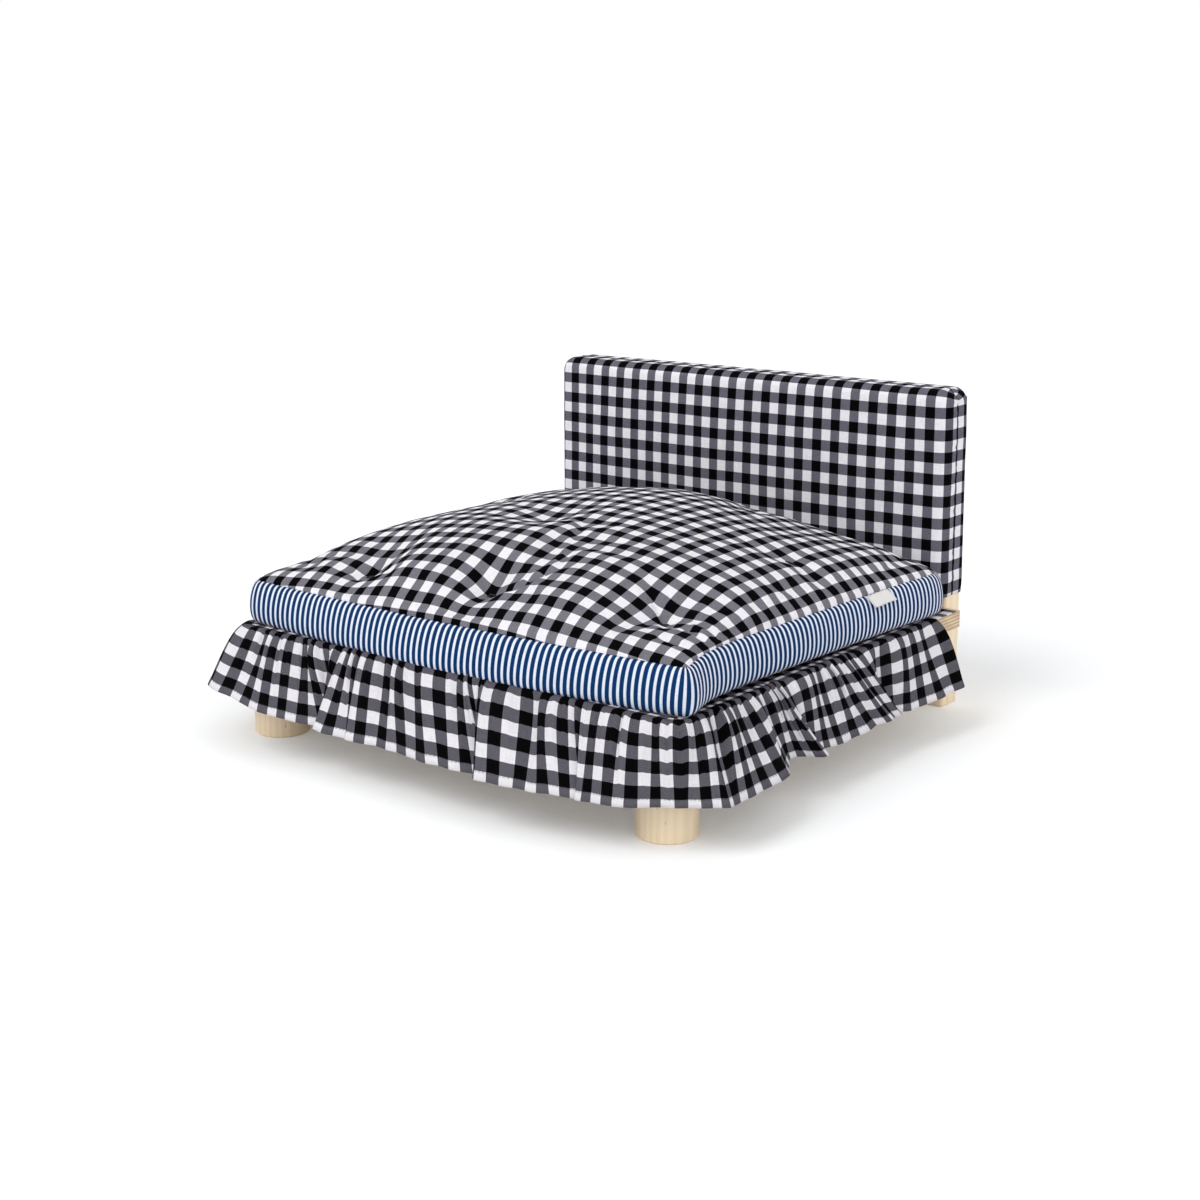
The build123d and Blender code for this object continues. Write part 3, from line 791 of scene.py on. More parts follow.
@dataclass
class Headboard:
    """The slip cover's two halves and the foam under them."""

    front_edge: float = 0.011
    back_edge: float = 0.006
    corner_reach: float = 0.0145
    face_bulge: float = 0.0044
    back_bulge: float = 0.0016
    cloth: float = 0.001
    step: float = 0.004
    check_x: float = 0.00196
    check_z: float = 0.27334
    check_rise: float = 1.0435
    crumple_depth: float = 0.00035
    dip: float = 0.0011
    dip_width: float = 0.0016
    pucker: float = 0.00035
    corner_pucker: float = 0.0007
    corner_spread: float = 0.03
    pucker_wave: float = 0.011
    pucker_reach: float = 0.007
    hem_draw: float = 0.0006
    hem_width: float = 0.006
    foam_radius: float = 0.009
    foam_back_radius: float = 0.004
    foam_gap: float = 0.0003

    def wrap(self, face_y: float, seam_y: float, side: Side, bulge: float) -> list[Patch]:
        """One half of the cover as a core rectangle with a ring wrapped round it.

        With d the cloth's distance outside the core, the surface runs flat for the
        corner's flat part, then round a quarter circle of the edge radius, then
        straight back to the seam. At the two top corners the ring is a fan.

        Args:
            face_y: where the face is.
            seam_y: where the half ends.
            side: which half it is.
            bulge: how far the face's middle stands out.

        Returns:
            The core patch and the ring patch.
        """
        low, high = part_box("headboard_cover_front")
        edge = self.front_edge if side is Side.FRONT else self.back_edge
        level = self.corner_reach - edge
        core_x, core_z, bottom = high.x - self.corner_reach, high.z - self.corner_reach, low.z
        across = np.linspace(-core_x, core_x, round(2 * core_x / self.step) + 1)
        upward = np.linspace(bottom, core_z, round((core_z - bottom) / self.step) + 1)
        total = level + edge * QUARTER + abs(seam_y - face_y) - edge
        distance = np.concatenate([[0.0, level / 2], np.linspace(level, total, 24)])
        fan = np.linspace(math.pi, QUARTER, 12)[1:-1]
        left = np.stack([np.full_like(upward, -core_x), upward], axis=1)
        top = np.stack([across, np.full_like(across, core_z)], axis=1)
        base = np.concatenate([
            left, np.repeat(left[-1:], len(fan), axis=0), top,
            np.repeat(top[-1:], len(fan), axis=0), left[::-1] * (-1, 1),
        ])
        angle = np.concatenate([
            np.full(len(left), math.pi), fan, np.full(len(top), QUARTER),
            math.pi - fan[::-1], np.zeros(len(left)),
        ])
        way = np.stack([np.cos(angle), np.sin(angle)], axis=1)
        core = np.stack(np.meshgrid(across, upward, indexing="ij"), axis=-1)
        patches = []
        for start, heading, run in (
            (core, np.zeros((1, 1, 2)), np.zeros((1, 1))),
            (base[:, None], way[:, None], distance[None]),
        ):
            theta = np.clip((run - level) / edge, 0.0, QUARTER)
            straight = np.clip(run - level - edge * QUARTER, 0.0, None)
            out = np.minimum(run, level) + edge * np.sin(theta)
            back = edge * (1 - np.cos(theta)) + straight
            spot = start + heading * out[..., None]
            shape = spot.shape[:2]
            theta, back, run = (np.broadcast_to(value, shape) for value in (theta, back, run))
            heading = np.broadcast_to(heading, spot.shape)
            aside = heading * np.sin(theta)[..., None]
            normal = np.stack([aside[..., 0], side.value * np.cos(theta), aside[..., 1]], axis=-1)
            points = np.stack([spot[..., 0], face_y - side.value * back, spot[..., 1]], axis=-1)
            relief = self.relief(points, run, total, bulge, side)
            flat = start + heading * run[..., None] - (self.check_x, self.check_z)
            flat = flat / (1.0, self.check_rise)
            cloth = points + normal * relief[..., None]
            patches.append(Patch(cloth, flat, flip=side is Side.BACK))
        return patches

    def relief(
        self, points: Array, run: Array, total: float, bulge: float, side: Side
    ) -> Array:
        """How far the cloth stands off the plain block.

        It is the face's bulge, one less the 2.6th power of the distance from the
        middle each way, plus a faint crumple, a dip at the seam, puckers that
        fade with the distance from the seam, and a draw towards the bottom hem.

        Args:
            points: the block's points.
            run: the cloth's distance outside the core.
            total: that distance at the seam.
            bulge: how far the face's middle stands out.
            side: which half it is.

        Returns:
            The distance along the outward normal.
        """
        low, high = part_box("headboard_cover_front")
        x, z = points[..., 0], points[..., 2]
        middle, reach = (high.z + low.z) / 2, (high.z - low.z) / 2
        wide = np.clip(1 - np.abs(x / high.x) ** 2.6, 0.0, None)
        tall = np.clip(1 - np.abs((z - middle) / reach) ** 2.6, 0.0, None)
        swell = bulge * wide * tall
        seed = 11 if side is Side.FRONT else 31
        faint = self.crumple_depth * crumple(x, z, 0.07, seed)
        from_seam = total - run
        dip = -self.dip * np.exp(-((from_seam / self.dip_width) ** 2))
        near_corner = np.exp(-(np.hypot(np.abs(x) - high.x, z - high.z) / self.corner_spread) ** 2)
        strength = self.pucker + self.corner_pucker * near_corner
        fade = np.exp(-from_seam / self.pucker_reach)
        pucker = strength * ripple(x + z, self.pucker_wave, seed + 5) * fade
        drawn = -self.hem_draw * np.exp(-((z - low.z) / self.hem_width) ** 2)
        drawn = drawn * smoothstep(0.0, 0.01, run)
        return swell + faint + dip + pucker * smoothstep(0.0, 0.004, run) + drawn

    def foam_pad(self) -> list[Patch]:
        """The foam as its profile carried from side to side.

        The profile goes up the back of the front layer, over the posts' tops, down
        the back edge and forward over the rounded top. Towards each end it is
        drawn in by a quarter circle of the edge radius.
        """
        low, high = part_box("headboard_foam")
        board_low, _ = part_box("headboard_board")
        radius, small, gap = self.foam_radius, self.foam_back_radius, self.foam_gap
        inner_y, inner_z = board_low.y - gap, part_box("rear_left_post")[1].z + gap
        arc = np.linspace(0.0, QUARTER, 7)
        cosine, sine = 1 - np.cos(arc), 1 - np.sin(arc)
        outline = np.concatenate([
            [(inner_y, low.z), (low.y, low.z)],
            np.stack([low.y + radius * cosine, high.z - radius * sine], axis=1),
            np.stack([high.y - small * sine, high.z - small * cosine], axis=1),
            [(high.y, inner_z), (inner_y, inner_z), (inner_y, low.z)],
        ])
        runs = [np.linspace(a, b, 5)[:-1] for a, b in zip(outline[:-1], outline[1:])]
        y, z = np.concatenate([*runs, outline[-1:]]).T[:, None]
        x = high.x * np.sin(np.linspace(-1.0, 1.0, 121) * QUARTER)
        inset = end_round(x, high.x, radius)[:, None]
        lower = np.minimum(end_round(x, high.x, self.corner_reach - MM), high.z - inner_z - gap)
        front = y + inset * (y < inner_y - MERGE_DISTANCE / 2)
        height = z - lower[:, None] * (z > inner_z + MERGE_DISTANCE / 2)
        across = np.repeat(x[:, None], y.shape[1], axis=1)
        points = np.stack([across, np.minimum(front, np.maximum(y, inner_y)), height], axis=-1)
        caps = []
        for end, flip in ((0, True), (-1, False)):
            rim = points[end]
            above = rim[:, 2] > inner_z
            hub = rim.copy()
            hub[:, 1] = np.where(above, rim[:, 1], inner_y)
            hub[:, 2] = np.where(above, inner_z, rim[:, 2])
            pair = np.stack([rim, hub], axis=1)
            caps.append(Patch(pair, pair[..., [1, 2]], flip=flip))
        return [Patch(points, points[..., [0, 2]]), *caps]

    def build(self, finishes: Finishes) -> None:
        """Makes, dresses and places the cover's halves and the foam."""
        low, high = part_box("headboard_cover_front")
        back_low, back_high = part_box("headboard_cover_back")
        seam = (high.y + back_low.y) / 2
        for side, face_y, bulge, edge, node in (
            (Side.FRONT, low.y, self.face_bulge, self.front_edge, "headboard_cover_front"),
            (Side.BACK, back_high.y, self.back_bulge, self.back_edge, "headboard_cover_back"),
        ):
            edge_y = seam + side.value * 0.00005
            patches = self.wrap(face_y, edge_y, side, bulge)
            piece = build_object(f"cover_{side.name.lower()}_cloth", patches)
            finish_cloth(piece, self.cloth)
            dress(piece, finishes.gingham)
            place_piece(piece, Body.COVER, "gingham", node)
        foam = build_object("headboard_foam_pad", self.foam_pad())
        dress(foam, finishes.foam)
        place_piece(foam, Body.FRAME, "foam", "headboard_foam")


# ------------------------------------------------------------------ cushion


@dataclass(frozen=True)
class Tuft:
    """A stitch that pulls the top panel down, with its node's number and how deep it pulls."""

    number: int
    depth: float = 0.010
    radius: float = 0.016


@dataclass(frozen=True)
class Crease:
    """A fold in the top panel from one point to another, in metres from the cushion's centre."""

    start: tuple[float, float]
    end: tuple[float, float]
    depth: float = 0.0035
    width: float = 0.006
    sway: float = 0.0015

    def place(self, x: Array, y: Array) -> tuple[Array, Array]:
        """The share of the way along the fold, and the distance to its swaying line."""
        line = np.array(self.end) - np.array(self.start)
        length = float(np.hypot(*line))
        ahead, beside = x - self.start[0], y - self.start[1]
        share = (ahead * line[0] + beside * line[1]) / length**2
        off = (ahead * line[1] - beside * line[0]) / length
        return share, off + self.sway * np.sin(share * 7.0)


@dataclass
class Cushion:
    """The tufted cushion: a crowned gingham top, a striped band, a lining and small parts."""

    power_x: float = 1.6
    power_y: float = 3.0
    swell: float = 0.68
    crown: float = 0.0645
    front_corner: float = 60.0
    back_corner: float = 16.0
    rim_roll: float = 0.0062
    shoulder_drop: float = 0.013
    roll_reach: float = 0.006
    hem_spread: float = 0.0035
    front_swell: float = 0.006
    right_draw: float = 0.014
    left_draw: float = 0.008
    front_droop: tuple[float, float] = (0.0015, 0.0030)
    front_belly: float = 0.006
    right_lift: float = 0.003
    band_bulge: float = 0.0065
    band_power: float = 0.55
    band_pucker: float = 0.00045
    band_wave: float = 0.0007
    band_tuck: float = 0.0012
    band_sway: float = 0.0006
    stripe_lean: float = 0.0010
    label_slope: tuple[float, float] = (0.0063, 0.013)
    label_fold: float = 0.0007
    label_out: float = 0.0104
    label_down: float = 0.0082
    label_rise: float = 0.0012
    label_wave: float = 0.0005
    label_shift: float = 0.008
    back_flat: float = 0.6
    cloth: float = 0.001
    grid: tuple[int, int] = (132, 116)
    band_columns: int = 1000
    rise_kept: float = 0.8
    held_round_tuft: float = 0.004
    held_by_crease: float = 0.0022
    sim_frames: int = 20
    sim_limit: float = 0.006
    strand_apart: float = 0.0011
    strand_reach: float = 0.0036
    strand_radius: float = 0.00065
    tufts: tuple[Tuft, ...] = (
        Tuft(1, 0.019, 0.020),
        Tuft(2, 0.025, 0.023),
        Tuft(3, 0.018, 0.024),
        Tuft(4, 0.009, 0.018),
        Tuft(5, 0.0025, 0.012),
        Tuft(6, 0.002),
        Tuft(7, 0.0015),
        Tuft(8, 0.002),
    )
    creases: tuple[Crease, ...] = (
        Crease((0.012, -0.176), (0.048, -0.171), 0.0068, 0.0048),
        Crease((0.045, -0.172), (0.063, -0.143), 0.0062, 0.0048),
        Crease((0.063, -0.143), (0.0495, -0.106), 0.0045, 0.0050),
        Crease((0.0495, -0.106), (0.0095, -0.0415), 0.0030, 0.0060),
        Crease((-0.136, -0.186), (-0.102, -0.172), 0.0050, 0.0045),
        Crease((-0.128, -0.174), (-0.115, -0.144), 0.0030, 0.0050),
        Crease((0.150, -0.134), (0.186, -0.151), 0.0035, 0.0050),
        Crease((0.196, -0.156), (0.228, -0.160), 0.0046, 0.0045),
        Crease((0.205, -0.143), (0.232, -0.1445), 0.0032, 0.0045),
        Crease((0.194, -0.187), (0.231, -0.182), 0.0030, 0.0050),
    )

    def __post_init__(self) -> None:
        """Reads the seam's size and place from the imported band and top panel."""
        low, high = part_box("cushion_top")
        self.half = np.array([(high.x - low.x) / 2, (high.y - low.y) / 2])
        self.centre = np.array([(high.x + low.x) / 2, (high.y + low.y) / 2])
        band_low, band_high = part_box("cushion_band")
        self.band_bottom, self.band_top = band_low.z, band_high.z
        self.base = (band_high.z + low.z) / 2

    def outline(self, a: Array, b: Array) -> tuple[Array, Array]:
        """Maps a square to the cushion's outline.

        A point moves towards the middle by its largest share over a high-power
        mean of both, which rounds the corners, more at the back than in front,
        and the sides are drawn in and the front swells as their bends say.

        Args:
            a: shares across, -1 to 1.
            b: shares from front to back, -1 to 1.

        Returns:
            The distances from the cushion's centre along X and Y.
        """
        change = self.back_corner - self.front_corner
        power = self.front_corner + change * smoothstep(-0.6, 0.6, b)
        round_off = corner_share(a, b, power)
        front, right, left = self.bends(a, b)
        x = a * round_off * self.half[0] - self.right_draw * right + self.left_draw * left
        y = b * round_off * self.half[1] - self.front_swell * front
        return x, y

    def bends(self, a: Array, b: Array) -> tuple[Array, Array, Array]:
        """How strongly the front, right and left sides' own bends act at a place.

        Each is the sixth power of the share towards its side. The front's is
        times one less a squared, to the power 1.3. The right's is times one less
        the 6th power of b, times 0.70 less 0.36 b, so that it is strongest near
        the front corner. The left's is times one less b squared.
        """
        front = np.clip(-b, 0.0, None) ** 6 * np.clip(1 - a * a, 0.0, None) ** 1.3
        right = np.clip(a, 0.0, None) ** 6 * (1 - np.abs(b) ** 6) * (0.70 - 0.36 * b)
        left = np.clip(-a, 0.0, None) ** 6 * (1 - b * b)
        return front, right, left

    def level_shift(self, a: Array, b: Array) -> tuple[Array, Array]:
        """How far the top and bottom seams leave their levels: down in front, up on the right."""
        front, right, _ = self.bends(a, b)
        top, bottom = (self.right_lift * right - droop * front for droop in self.front_droop)
        return top, bottom

    def crown_height(self, a: Array, b: Array) -> Array:
        """The crown over the seam.

        It is its height, less a drop at the back right shoulder, times the
        product of both falls to the swell's power, plus a small roll that rises
        quickly from the seam on every side.
        """
        fall = (1 - np.abs(a) ** self.power_x) * (1 - np.abs(b) ** self.power_y)
        within = np.minimum((1 - np.abs(a)) * self.half[0], (1 - np.abs(b)) * self.half[1])
        roll = self.rim_roll * (1 - np.exp(-np.clip(within, 0.0, None) / self.roll_reach))
        shoulder = self.shoulder_drop * smoothstep(0.25, 0.6, a) * smoothstep(0.0, 0.6, b)
        crown = self.crown - self.rim_roll - shoulder
        return crown * np.clip(fall, 0.0, None) ** self.swell + roll

    def tuft_place(self, tuft: Tuft) -> Array:
        """Where a tuft is, from the cushion's centre, as its packed tie says."""
        low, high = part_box(f"tuft_tie_{tuft.number}")
        return np.array([(low.x + high.x) / 2, (low.y + high.y) / 2]) - self.centre

    def hollows(self, x: Array, y: Array) -> Array:
        """How far tufts and creases pull the crown down.

        A tuft is its depth over one plus the squared distance over its radius
        squared. A crease is a valley with a low ridge each side, one less 1.2
        times the square times the bell curve, faded at both ends.
        """
        total = np.zeros_like(x)
        for tuft in self.tufts:
            cx, cy = self.tuft_place(tuft)
            away = np.hypot(x - cx, y - cy)
            total -= tuft.depth / (1 + (away / tuft.radius) ** 2)
        for crease in self.creases:
            share, off = crease.place(x, y)
            shape = (1 - 1.2 * (off / crease.width) ** 2) * np.exp(-((off / crease.width) ** 2))
            fade = crease.depth * shape * smoothstep(-0.12, 0.15, share)
            total -= fade * smoothstep(1.15, 0.6, share)
        return total

    def top_panel(self) -> Patch:
        """The top panel before it is settled.

        Both shares are the sine of an even spacing, so that rows crowd at the
        steep rim. The height is the crown less the hollows, and the flat
        coordinates are the distances along the surface from the middle.
        """
        count_x, count_y = self.grid
        a = np.sin(np.linspace(-1.0, 1.0, 2 * (count_x // 2) + 1) * QUARTER)
        b = np.sin(np.linspace(-1.0, 1.0, 2 * (count_y // 2) + 1) * QUARTER)
        a, b = np.meshgrid(a, b, indexing="ij")
        x, y = self.outline(a, b)
        inside = np.clip((1 - np.maximum(np.abs(a), np.abs(b))) / 0.03, 0.0, 1.0)
        pulled = self.hollows(x, y) * smoothstep(0.0, 1.0, inside)
        height = np.maximum(self.crown_height(a, b) + pulled, 0.0)
        height += 0.0006 * crumple(x, y, 0.05, 3) * inside
        level = self.base + height + self.level_shift(a, b)[0]
        points = np.stack([x + self.centre[0], y + self.centre[1], level], axis=-1)
        return Patch(points, self.flat_map(x, y, self.crown_height(a, b)))

    def flat_map(self, x: Array, y: Array, height: Array) -> Array:
        """The cloth's own coordinates.

        Across, they are the surface distance along each row from the middle
        column. From front to back they are the surface distance along each
        column from the middle row. The rise counts for a share only, because the
        woven cloth also gives on the bias.
        """
        def surface(values: Array, axis: int) -> Array:
            """Running distance along an axis from the middle line."""
            plain = np.abs(np.diff(values, axis=axis))
            rise = np.diff(height, axis=axis)
            run = np.cumsum(np.hypot(plain, rise * self.rise_kept), axis=axis)
            run = np.concatenate([np.zeros_like(np.take(run, [0], axis=axis)), run], axis=axis)
            middle = np.take(run, [run.shape[axis] // 2], axis=axis)
            return run - middle

        return np.stack([surface(x, 0), surface(y, 1)], axis=-1)

    def settle(self, piece: Piece, rows: int, columns: int) -> None:
        """Lets the panel's cloth find its folds.

        The rim, the tufts and the creases are held, the cloth is a little larger
        than its start shape and air presses from below. A point then keeps at most
        the limit's distance from where it started.

        Args:
            piece: the panel's object.
            rows: its grid's points across.
            columns: its grid's points from front to back.
        """
        count = len(piece.data.vertices)
        start = np.zeros(count * 3, np.float32)
        piece.data.vertices.foreach_get("co", start)
        start = start.reshape(-1, 3)
        index = np.arange(count).reshape(rows, columns)
        held = set(np.concatenate([index[0], index[-1], index[:, 0], index[:, -1]]).tolist())
        for tuft in self.tufts:
            spot = self.tuft_place(tuft) + self.centre
            away = np.hypot(start[:, 0] - spot[0], start[:, 1] - spot[1])
            held.update(np.nonzero(away < self.held_round_tuft)[0].tolist())
        for crease in self.creases:
            share, off = crease.place(*(start[:, :2] - self.centre).T)
            near = (np.abs(off) < self.held_by_crease) & (np.abs(share - 0.4) < 0.4)
            held.update(np.nonzero(near)[0].tolist())
        group = piece.vertex_groups.new(name="held")
        group.add(sorted(held), 1.0, "REPLACE")
        cloth = piece.modifiers.new("settle", "CLOTH").settings
        cloth.quality = 6
        cloth.mass = 0.12
        cloth.tension_stiffness = cloth.compression_stiffness = 30.0
        cloth.shear_stiffness = 8.0
        cloth.bending_stiffness = 0.25
        cloth.use_pressure = True
        cloth.uniform_pressure_force = 2.2
        cloth.vertex_group_mass = "held"
        cloth.shrink_min = -0.022
        cloth.effector_weights.gravity = 0.0
        scene = bpy.context.scene
        for number in range(1, self.sim_frames + 1):
            scene.frame_set(number)
        settled = piece.evaluated_get(bpy.context.evaluated_depsgraph_get())
        end = np.zeros(count * 3, np.float32)
        settled.data.vertices.foreach_get("co", end)
        move = end.reshape(-1, 3) - start
        length = np.linalg.norm(move, axis=1)
        keep = self.sim_limit * np.tanh(length / self.sim_limit) / np.maximum(length, TINY)
        rim_x = self.half[0] - np.abs(start[:, 0] - self.centre[0])
        rim_y = self.half[1] - np.abs(start[:, 1] - self.centre[1])
        from_side = smoothstep(0.0, 0.030, np.minimum(rim_x, rim_y))
        keep *= from_side * smoothstep(0.0, 0.09, np.hypot(rim_x, rim_y))
        mean, most = length.mean() / MM, length.max() / MM
        LOG.info("top panel settled: mean %.1f mm, most %.1f mm", mean, most)
        piece.modifiers.clear()
        piece.vertex_groups.clear()
        scene.frame_set(1)
        piece.data.vertices.foreach_set("co", (start + move * keep[:, None]).ravel())
        piece.data.update()

    def rim(self, count: int) -> tuple[Array, Array, Array, Array]:
        """The seam line once round, from the back middle.

        The four sides of the square are walked in turn at even distances and
        mapped with the outline's formula.

        Args:
            count: how many points, the last one on the first.

        Returns:
            The points from the centre, their outward normals, the distance along,
            and at each point the top and the bottom seam's shift and the front's bend.
        """
        fine = np.linspace(-1.0, 1.0, 801)
        ones = np.ones_like(fine)
        a = np.concatenate([fine[400:], ones[1:], -fine[1:], -ones[1:], fine[1:401]])
        b = np.concatenate([ones[400:], -fine[1:], -ones[1:], fine[1:], ones[1:401]])
        line = np.stack(self.outline(a, b), axis=1)
        length = path_length(line)
        even = np.linspace(0.0, length[-1], count)
        points = np.stack([np.interp(even, length, line[:, axis]) for axis in (0, 1)], axis=1)
        bend = (*self.level_shift(a, b), self.bends(a, b)[0])
        shift = np.stack([np.interp(even, length, values) for values in bend])
        ahead = np.roll(points[:-1], -1, axis=0) - np.roll(points[:-1], 1, axis=0)
        ahead = np.concatenate([ahead, ahead[:1]])
        normal = np.stack([-ahead[:, 1], ahead[:, 0]], axis=1)
        normal /= np.linalg.norm(normal, axis=1)[:, None]
        return points, normal, even, shift

    def band(self) -> Patch:
        """The striped band as a half-round profile carried round the seam line.

        The profile stands out by the bulge times one less the square of the
        height share to the power 0.55. Small puckers fade from both seams, and
        the ends tuck in under them. Along the back, where the cushion meets the
        headboard, all of it is drawn in by a share.
        """
        points, normal, along, shift = self.rim(self.band_columns + 1)
        top_shift, bottom_shift, front = shift[:, :, None]
        outside = self.band_bulge + self.hem_spread / 2
        printed = path_length(points + normal * outside)[:, None]
        share = np.sin(np.linspace(-1.0, 1.0, 19) * QUARTER)
        along, share = np.meshgrid(along, share, indexing="ij")
        round_part = np.clip(1 - share**2, 0.0, None) ** self.band_power
        stand = self.band_bulge * round_part
        turn = TURN * along / along[-1, 0]
        circle = tuple(wave(turn) * along[-1, 0] / TURN for wave in (np.cos, np.sin))
        from_seam = 1 - np.abs(share)
        near = np.exp(-from_seam / 0.16)
        pucker = self.band_pucker * near * crumple(*circle, 0.011, 41) * round_part**0.3
        lazy = self.band_wave * crumple(*circle, 0.12, 45) * round_part
        tuck = -self.band_tuck * np.exp(-from_seam / 0.05)
        upper, lower = (1 + share) / 2, (1 - share) / 2
        belly = (self.hem_spread + self.front_belly * front) * lower
        stand = stand + pucker + lazy + tuck + belly
        stand = stand * (1 - self.back_flat * np.clip(normal[:, 1:], 0.0, 1.0) ** 4)
        sway = self.band_sway * crumple(*circle, 0.05, 48)
        middle = (self.band_top + self.band_bottom) / 2
        reach = (self.band_top - self.band_bottom) / 2
        height = middle + reach * share + sway * 0.5 + top_shift * upper + bottom_shift * lower
        place = points[:, None] + normal[:, None] * stand[..., None] + self.centre
        grid = np.concatenate([place, height[..., None]], axis=-1)
        lean = self.stripe_lean * crumple(*circle, 0.09, 51) * share
        flat = np.stack([printed + lean, reach * share * 1.25], axis=-1)
        return Patch(grid, flat, flip=True)

    def bottom_panel(self) -> Patch:
        """The lining: the outline filled at one level, with a faint sag between the ties."""
        share = np.sin(np.linspace(-1.0, 1.0, 61) * QUARTER)
        a, b = np.meshgrid(share, share, indexing="ij")
        x, y = self.outline(a, b)
        _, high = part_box("cushion_bottom")
        sag = 0.5 + 0.5 * np.clip(crumple(x, y, 0.08, 61), -1, 1)
        inside = 1 - np.maximum(np.abs(a), np.abs(b)) ** 8
        height = high.z - 0.0002 - 0.0006 * sag * inside
        grow = 1.0 + self.hem_spread * 0.7 / self.half[0]
        height += self.level_shift(a, b)[1]
        forward = self.front_belly * self.bends(a, b)[0]
        place = (x * grow + self.centre[0], y * grow - forward + self.centre[1])
        points = np.stack([*place, height], axis=-1)
        return Patch(points, np.stack([x, y], axis=-1), flip=True)

    def label(self) -> Patch:
        """The blank label: a tape folded in half, hung from the band's top seam.

        Its section goes down and out from the seam, turns round a small half
        circle and comes back up behind. Along its length it waves a little.
        """
        low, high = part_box("cushion_label")
        y = np.linspace(low.y, high.y, 19) + self.label_shift
        lean = math.atan2(*self.label_slope)
        along = ((low.y + high.y) / 2 - self.centre[1]) / self.half[1]
        drawn = float(self.bends(np.ones(1), np.full(1, along))[1][0])
        drop, fold = high.z - low.z - 0.0008, self.label_fold
        down = np.linspace(0.0, drop, 9)
        arc = np.linspace(0.0, math.pi, 7)[1:-1]
        run = np.concatenate([down, np.full(len(arc), drop) + fold * np.sin(arc), down[::-1]])
        level = np.full(len(down), fold)
        off = np.concatenate([level, fold * np.cos(arc), -level])
        share = np.clip(run / drop, 0.0, 1.0)
        across = self.label_out * share**0.8 + np.cos(lean) * off
        height = high.z + self.label_rise + self.right_lift * drawn
        height = height - self.label_down * share + np.sin(lean) * off
        swing = np.sin((y - y[0]) / (high.y - low.y) * 7.0)
        wave = self.label_wave * swing[:, None] * (run / drop)[None]
        x = low.x + 0.0002 - self.right_draw * drawn + across[None] + wave
        y_grid = np.repeat(y[:, None], len(run), axis=1)
        z_grid = np.repeat(height[None], len(y), axis=0)
        points = np.stack([x, y_grid, z_grid], axis=-1)
        length = path_length(np.stack([across, height], axis=1))
        flat = np.stack(np.meshgrid(y, length, indexing="ij"), axis=-1)
        return Patch(points, flat, flip=True)

    def build(self, finishes: Finishes) -> None:
        """Makes, dresses and places every piece of the cushion."""
        patch = self.top_panel()
        panel = build_object("cushion_top_panel", [patch])
        self.settle(panel, *patch.points.shape[:2])
        finish_cloth(panel, self.cloth, levels=1)
        # The top panel wears the lighter copy of the gingham: painted light
        dress(panel, finishes.lit_top_gingham)
        place_piece(panel, Body.CUSHION, "gingham", "cushion_top", "cushion_filling")
        band = build_object("cushion_band_strip", [self.band()])
        finish_cloth(band, self.cloth)
        dress(band, finishes.ticking)
        place_piece(band, Body.CUSHION, "ticking", "cushion_band")
        lining = build_object("cushion_lining_panel", [self.bottom_panel()])
        finish_cloth(lining, 0.0005)
        dress(lining, finishes.lining)
        place_piece(lining, Body.CUSHION, "lining", "cushion_bottom")
        label = build_object("cushion_blank_tab", [self.label()])
        finish_cloth(label, 0.0003)
        dress(label, finishes.label_tape)
        place_piece(label, Body.CUSHION, "label_tape", "cushion_label")
        self.stitch(panel, finishes)

    def stitch(self, panel: Piece, finishes: Finishes) -> None:
        """Adds a short double stitch at each tuft, on the settled panel.

        A strand is a tube on a low arch over the dimple, whose ends go down into
        the cloth.
        """
        tree = panel.evaluated_get(bpy.context.evaluated_depsgraph_get())
        for tuft in self.tufts:
            spot = self.tuft_place(tuft) + self.centre
            strands = []
            for shift in (-self.strand_apart, self.strand_apart):
                share = np.linspace(-1.0, 1.0, 13)
                x = spot[0] + self.strand_reach * share + shift * 0.4
                y = spot[1] + shift + 0.0006 * share
                level = []
                for px, py in zip(x[::3], y[::3]):
                    above = Vector((px, py, 0.4))
                    hit, place, _, _ = tree.ray_cast(above, Vector((0.0, 0.0, -1.0)))
                    level.append(place.z if hit else self.base)
                height = np.interp(share, share[::3], level) + 0.0006 - 0.0022 * np.abs(share) ** 6
                radius = self.strand_radius * np.where(np.abs(share) > 0.99, 0.0, 1.0)
                strands.append(tube(np.stack([x, y, height], axis=1), radius, 8))
            piece = build_object(f"tuft_stitch_{tuft.number}", strands)
            dress(piece, finishes.thread)
            place_piece(piece, Body.CUSHION, "thread", f"tuft_tie_{tuft.number}")


# -------------------------------------------------------------------- skirt


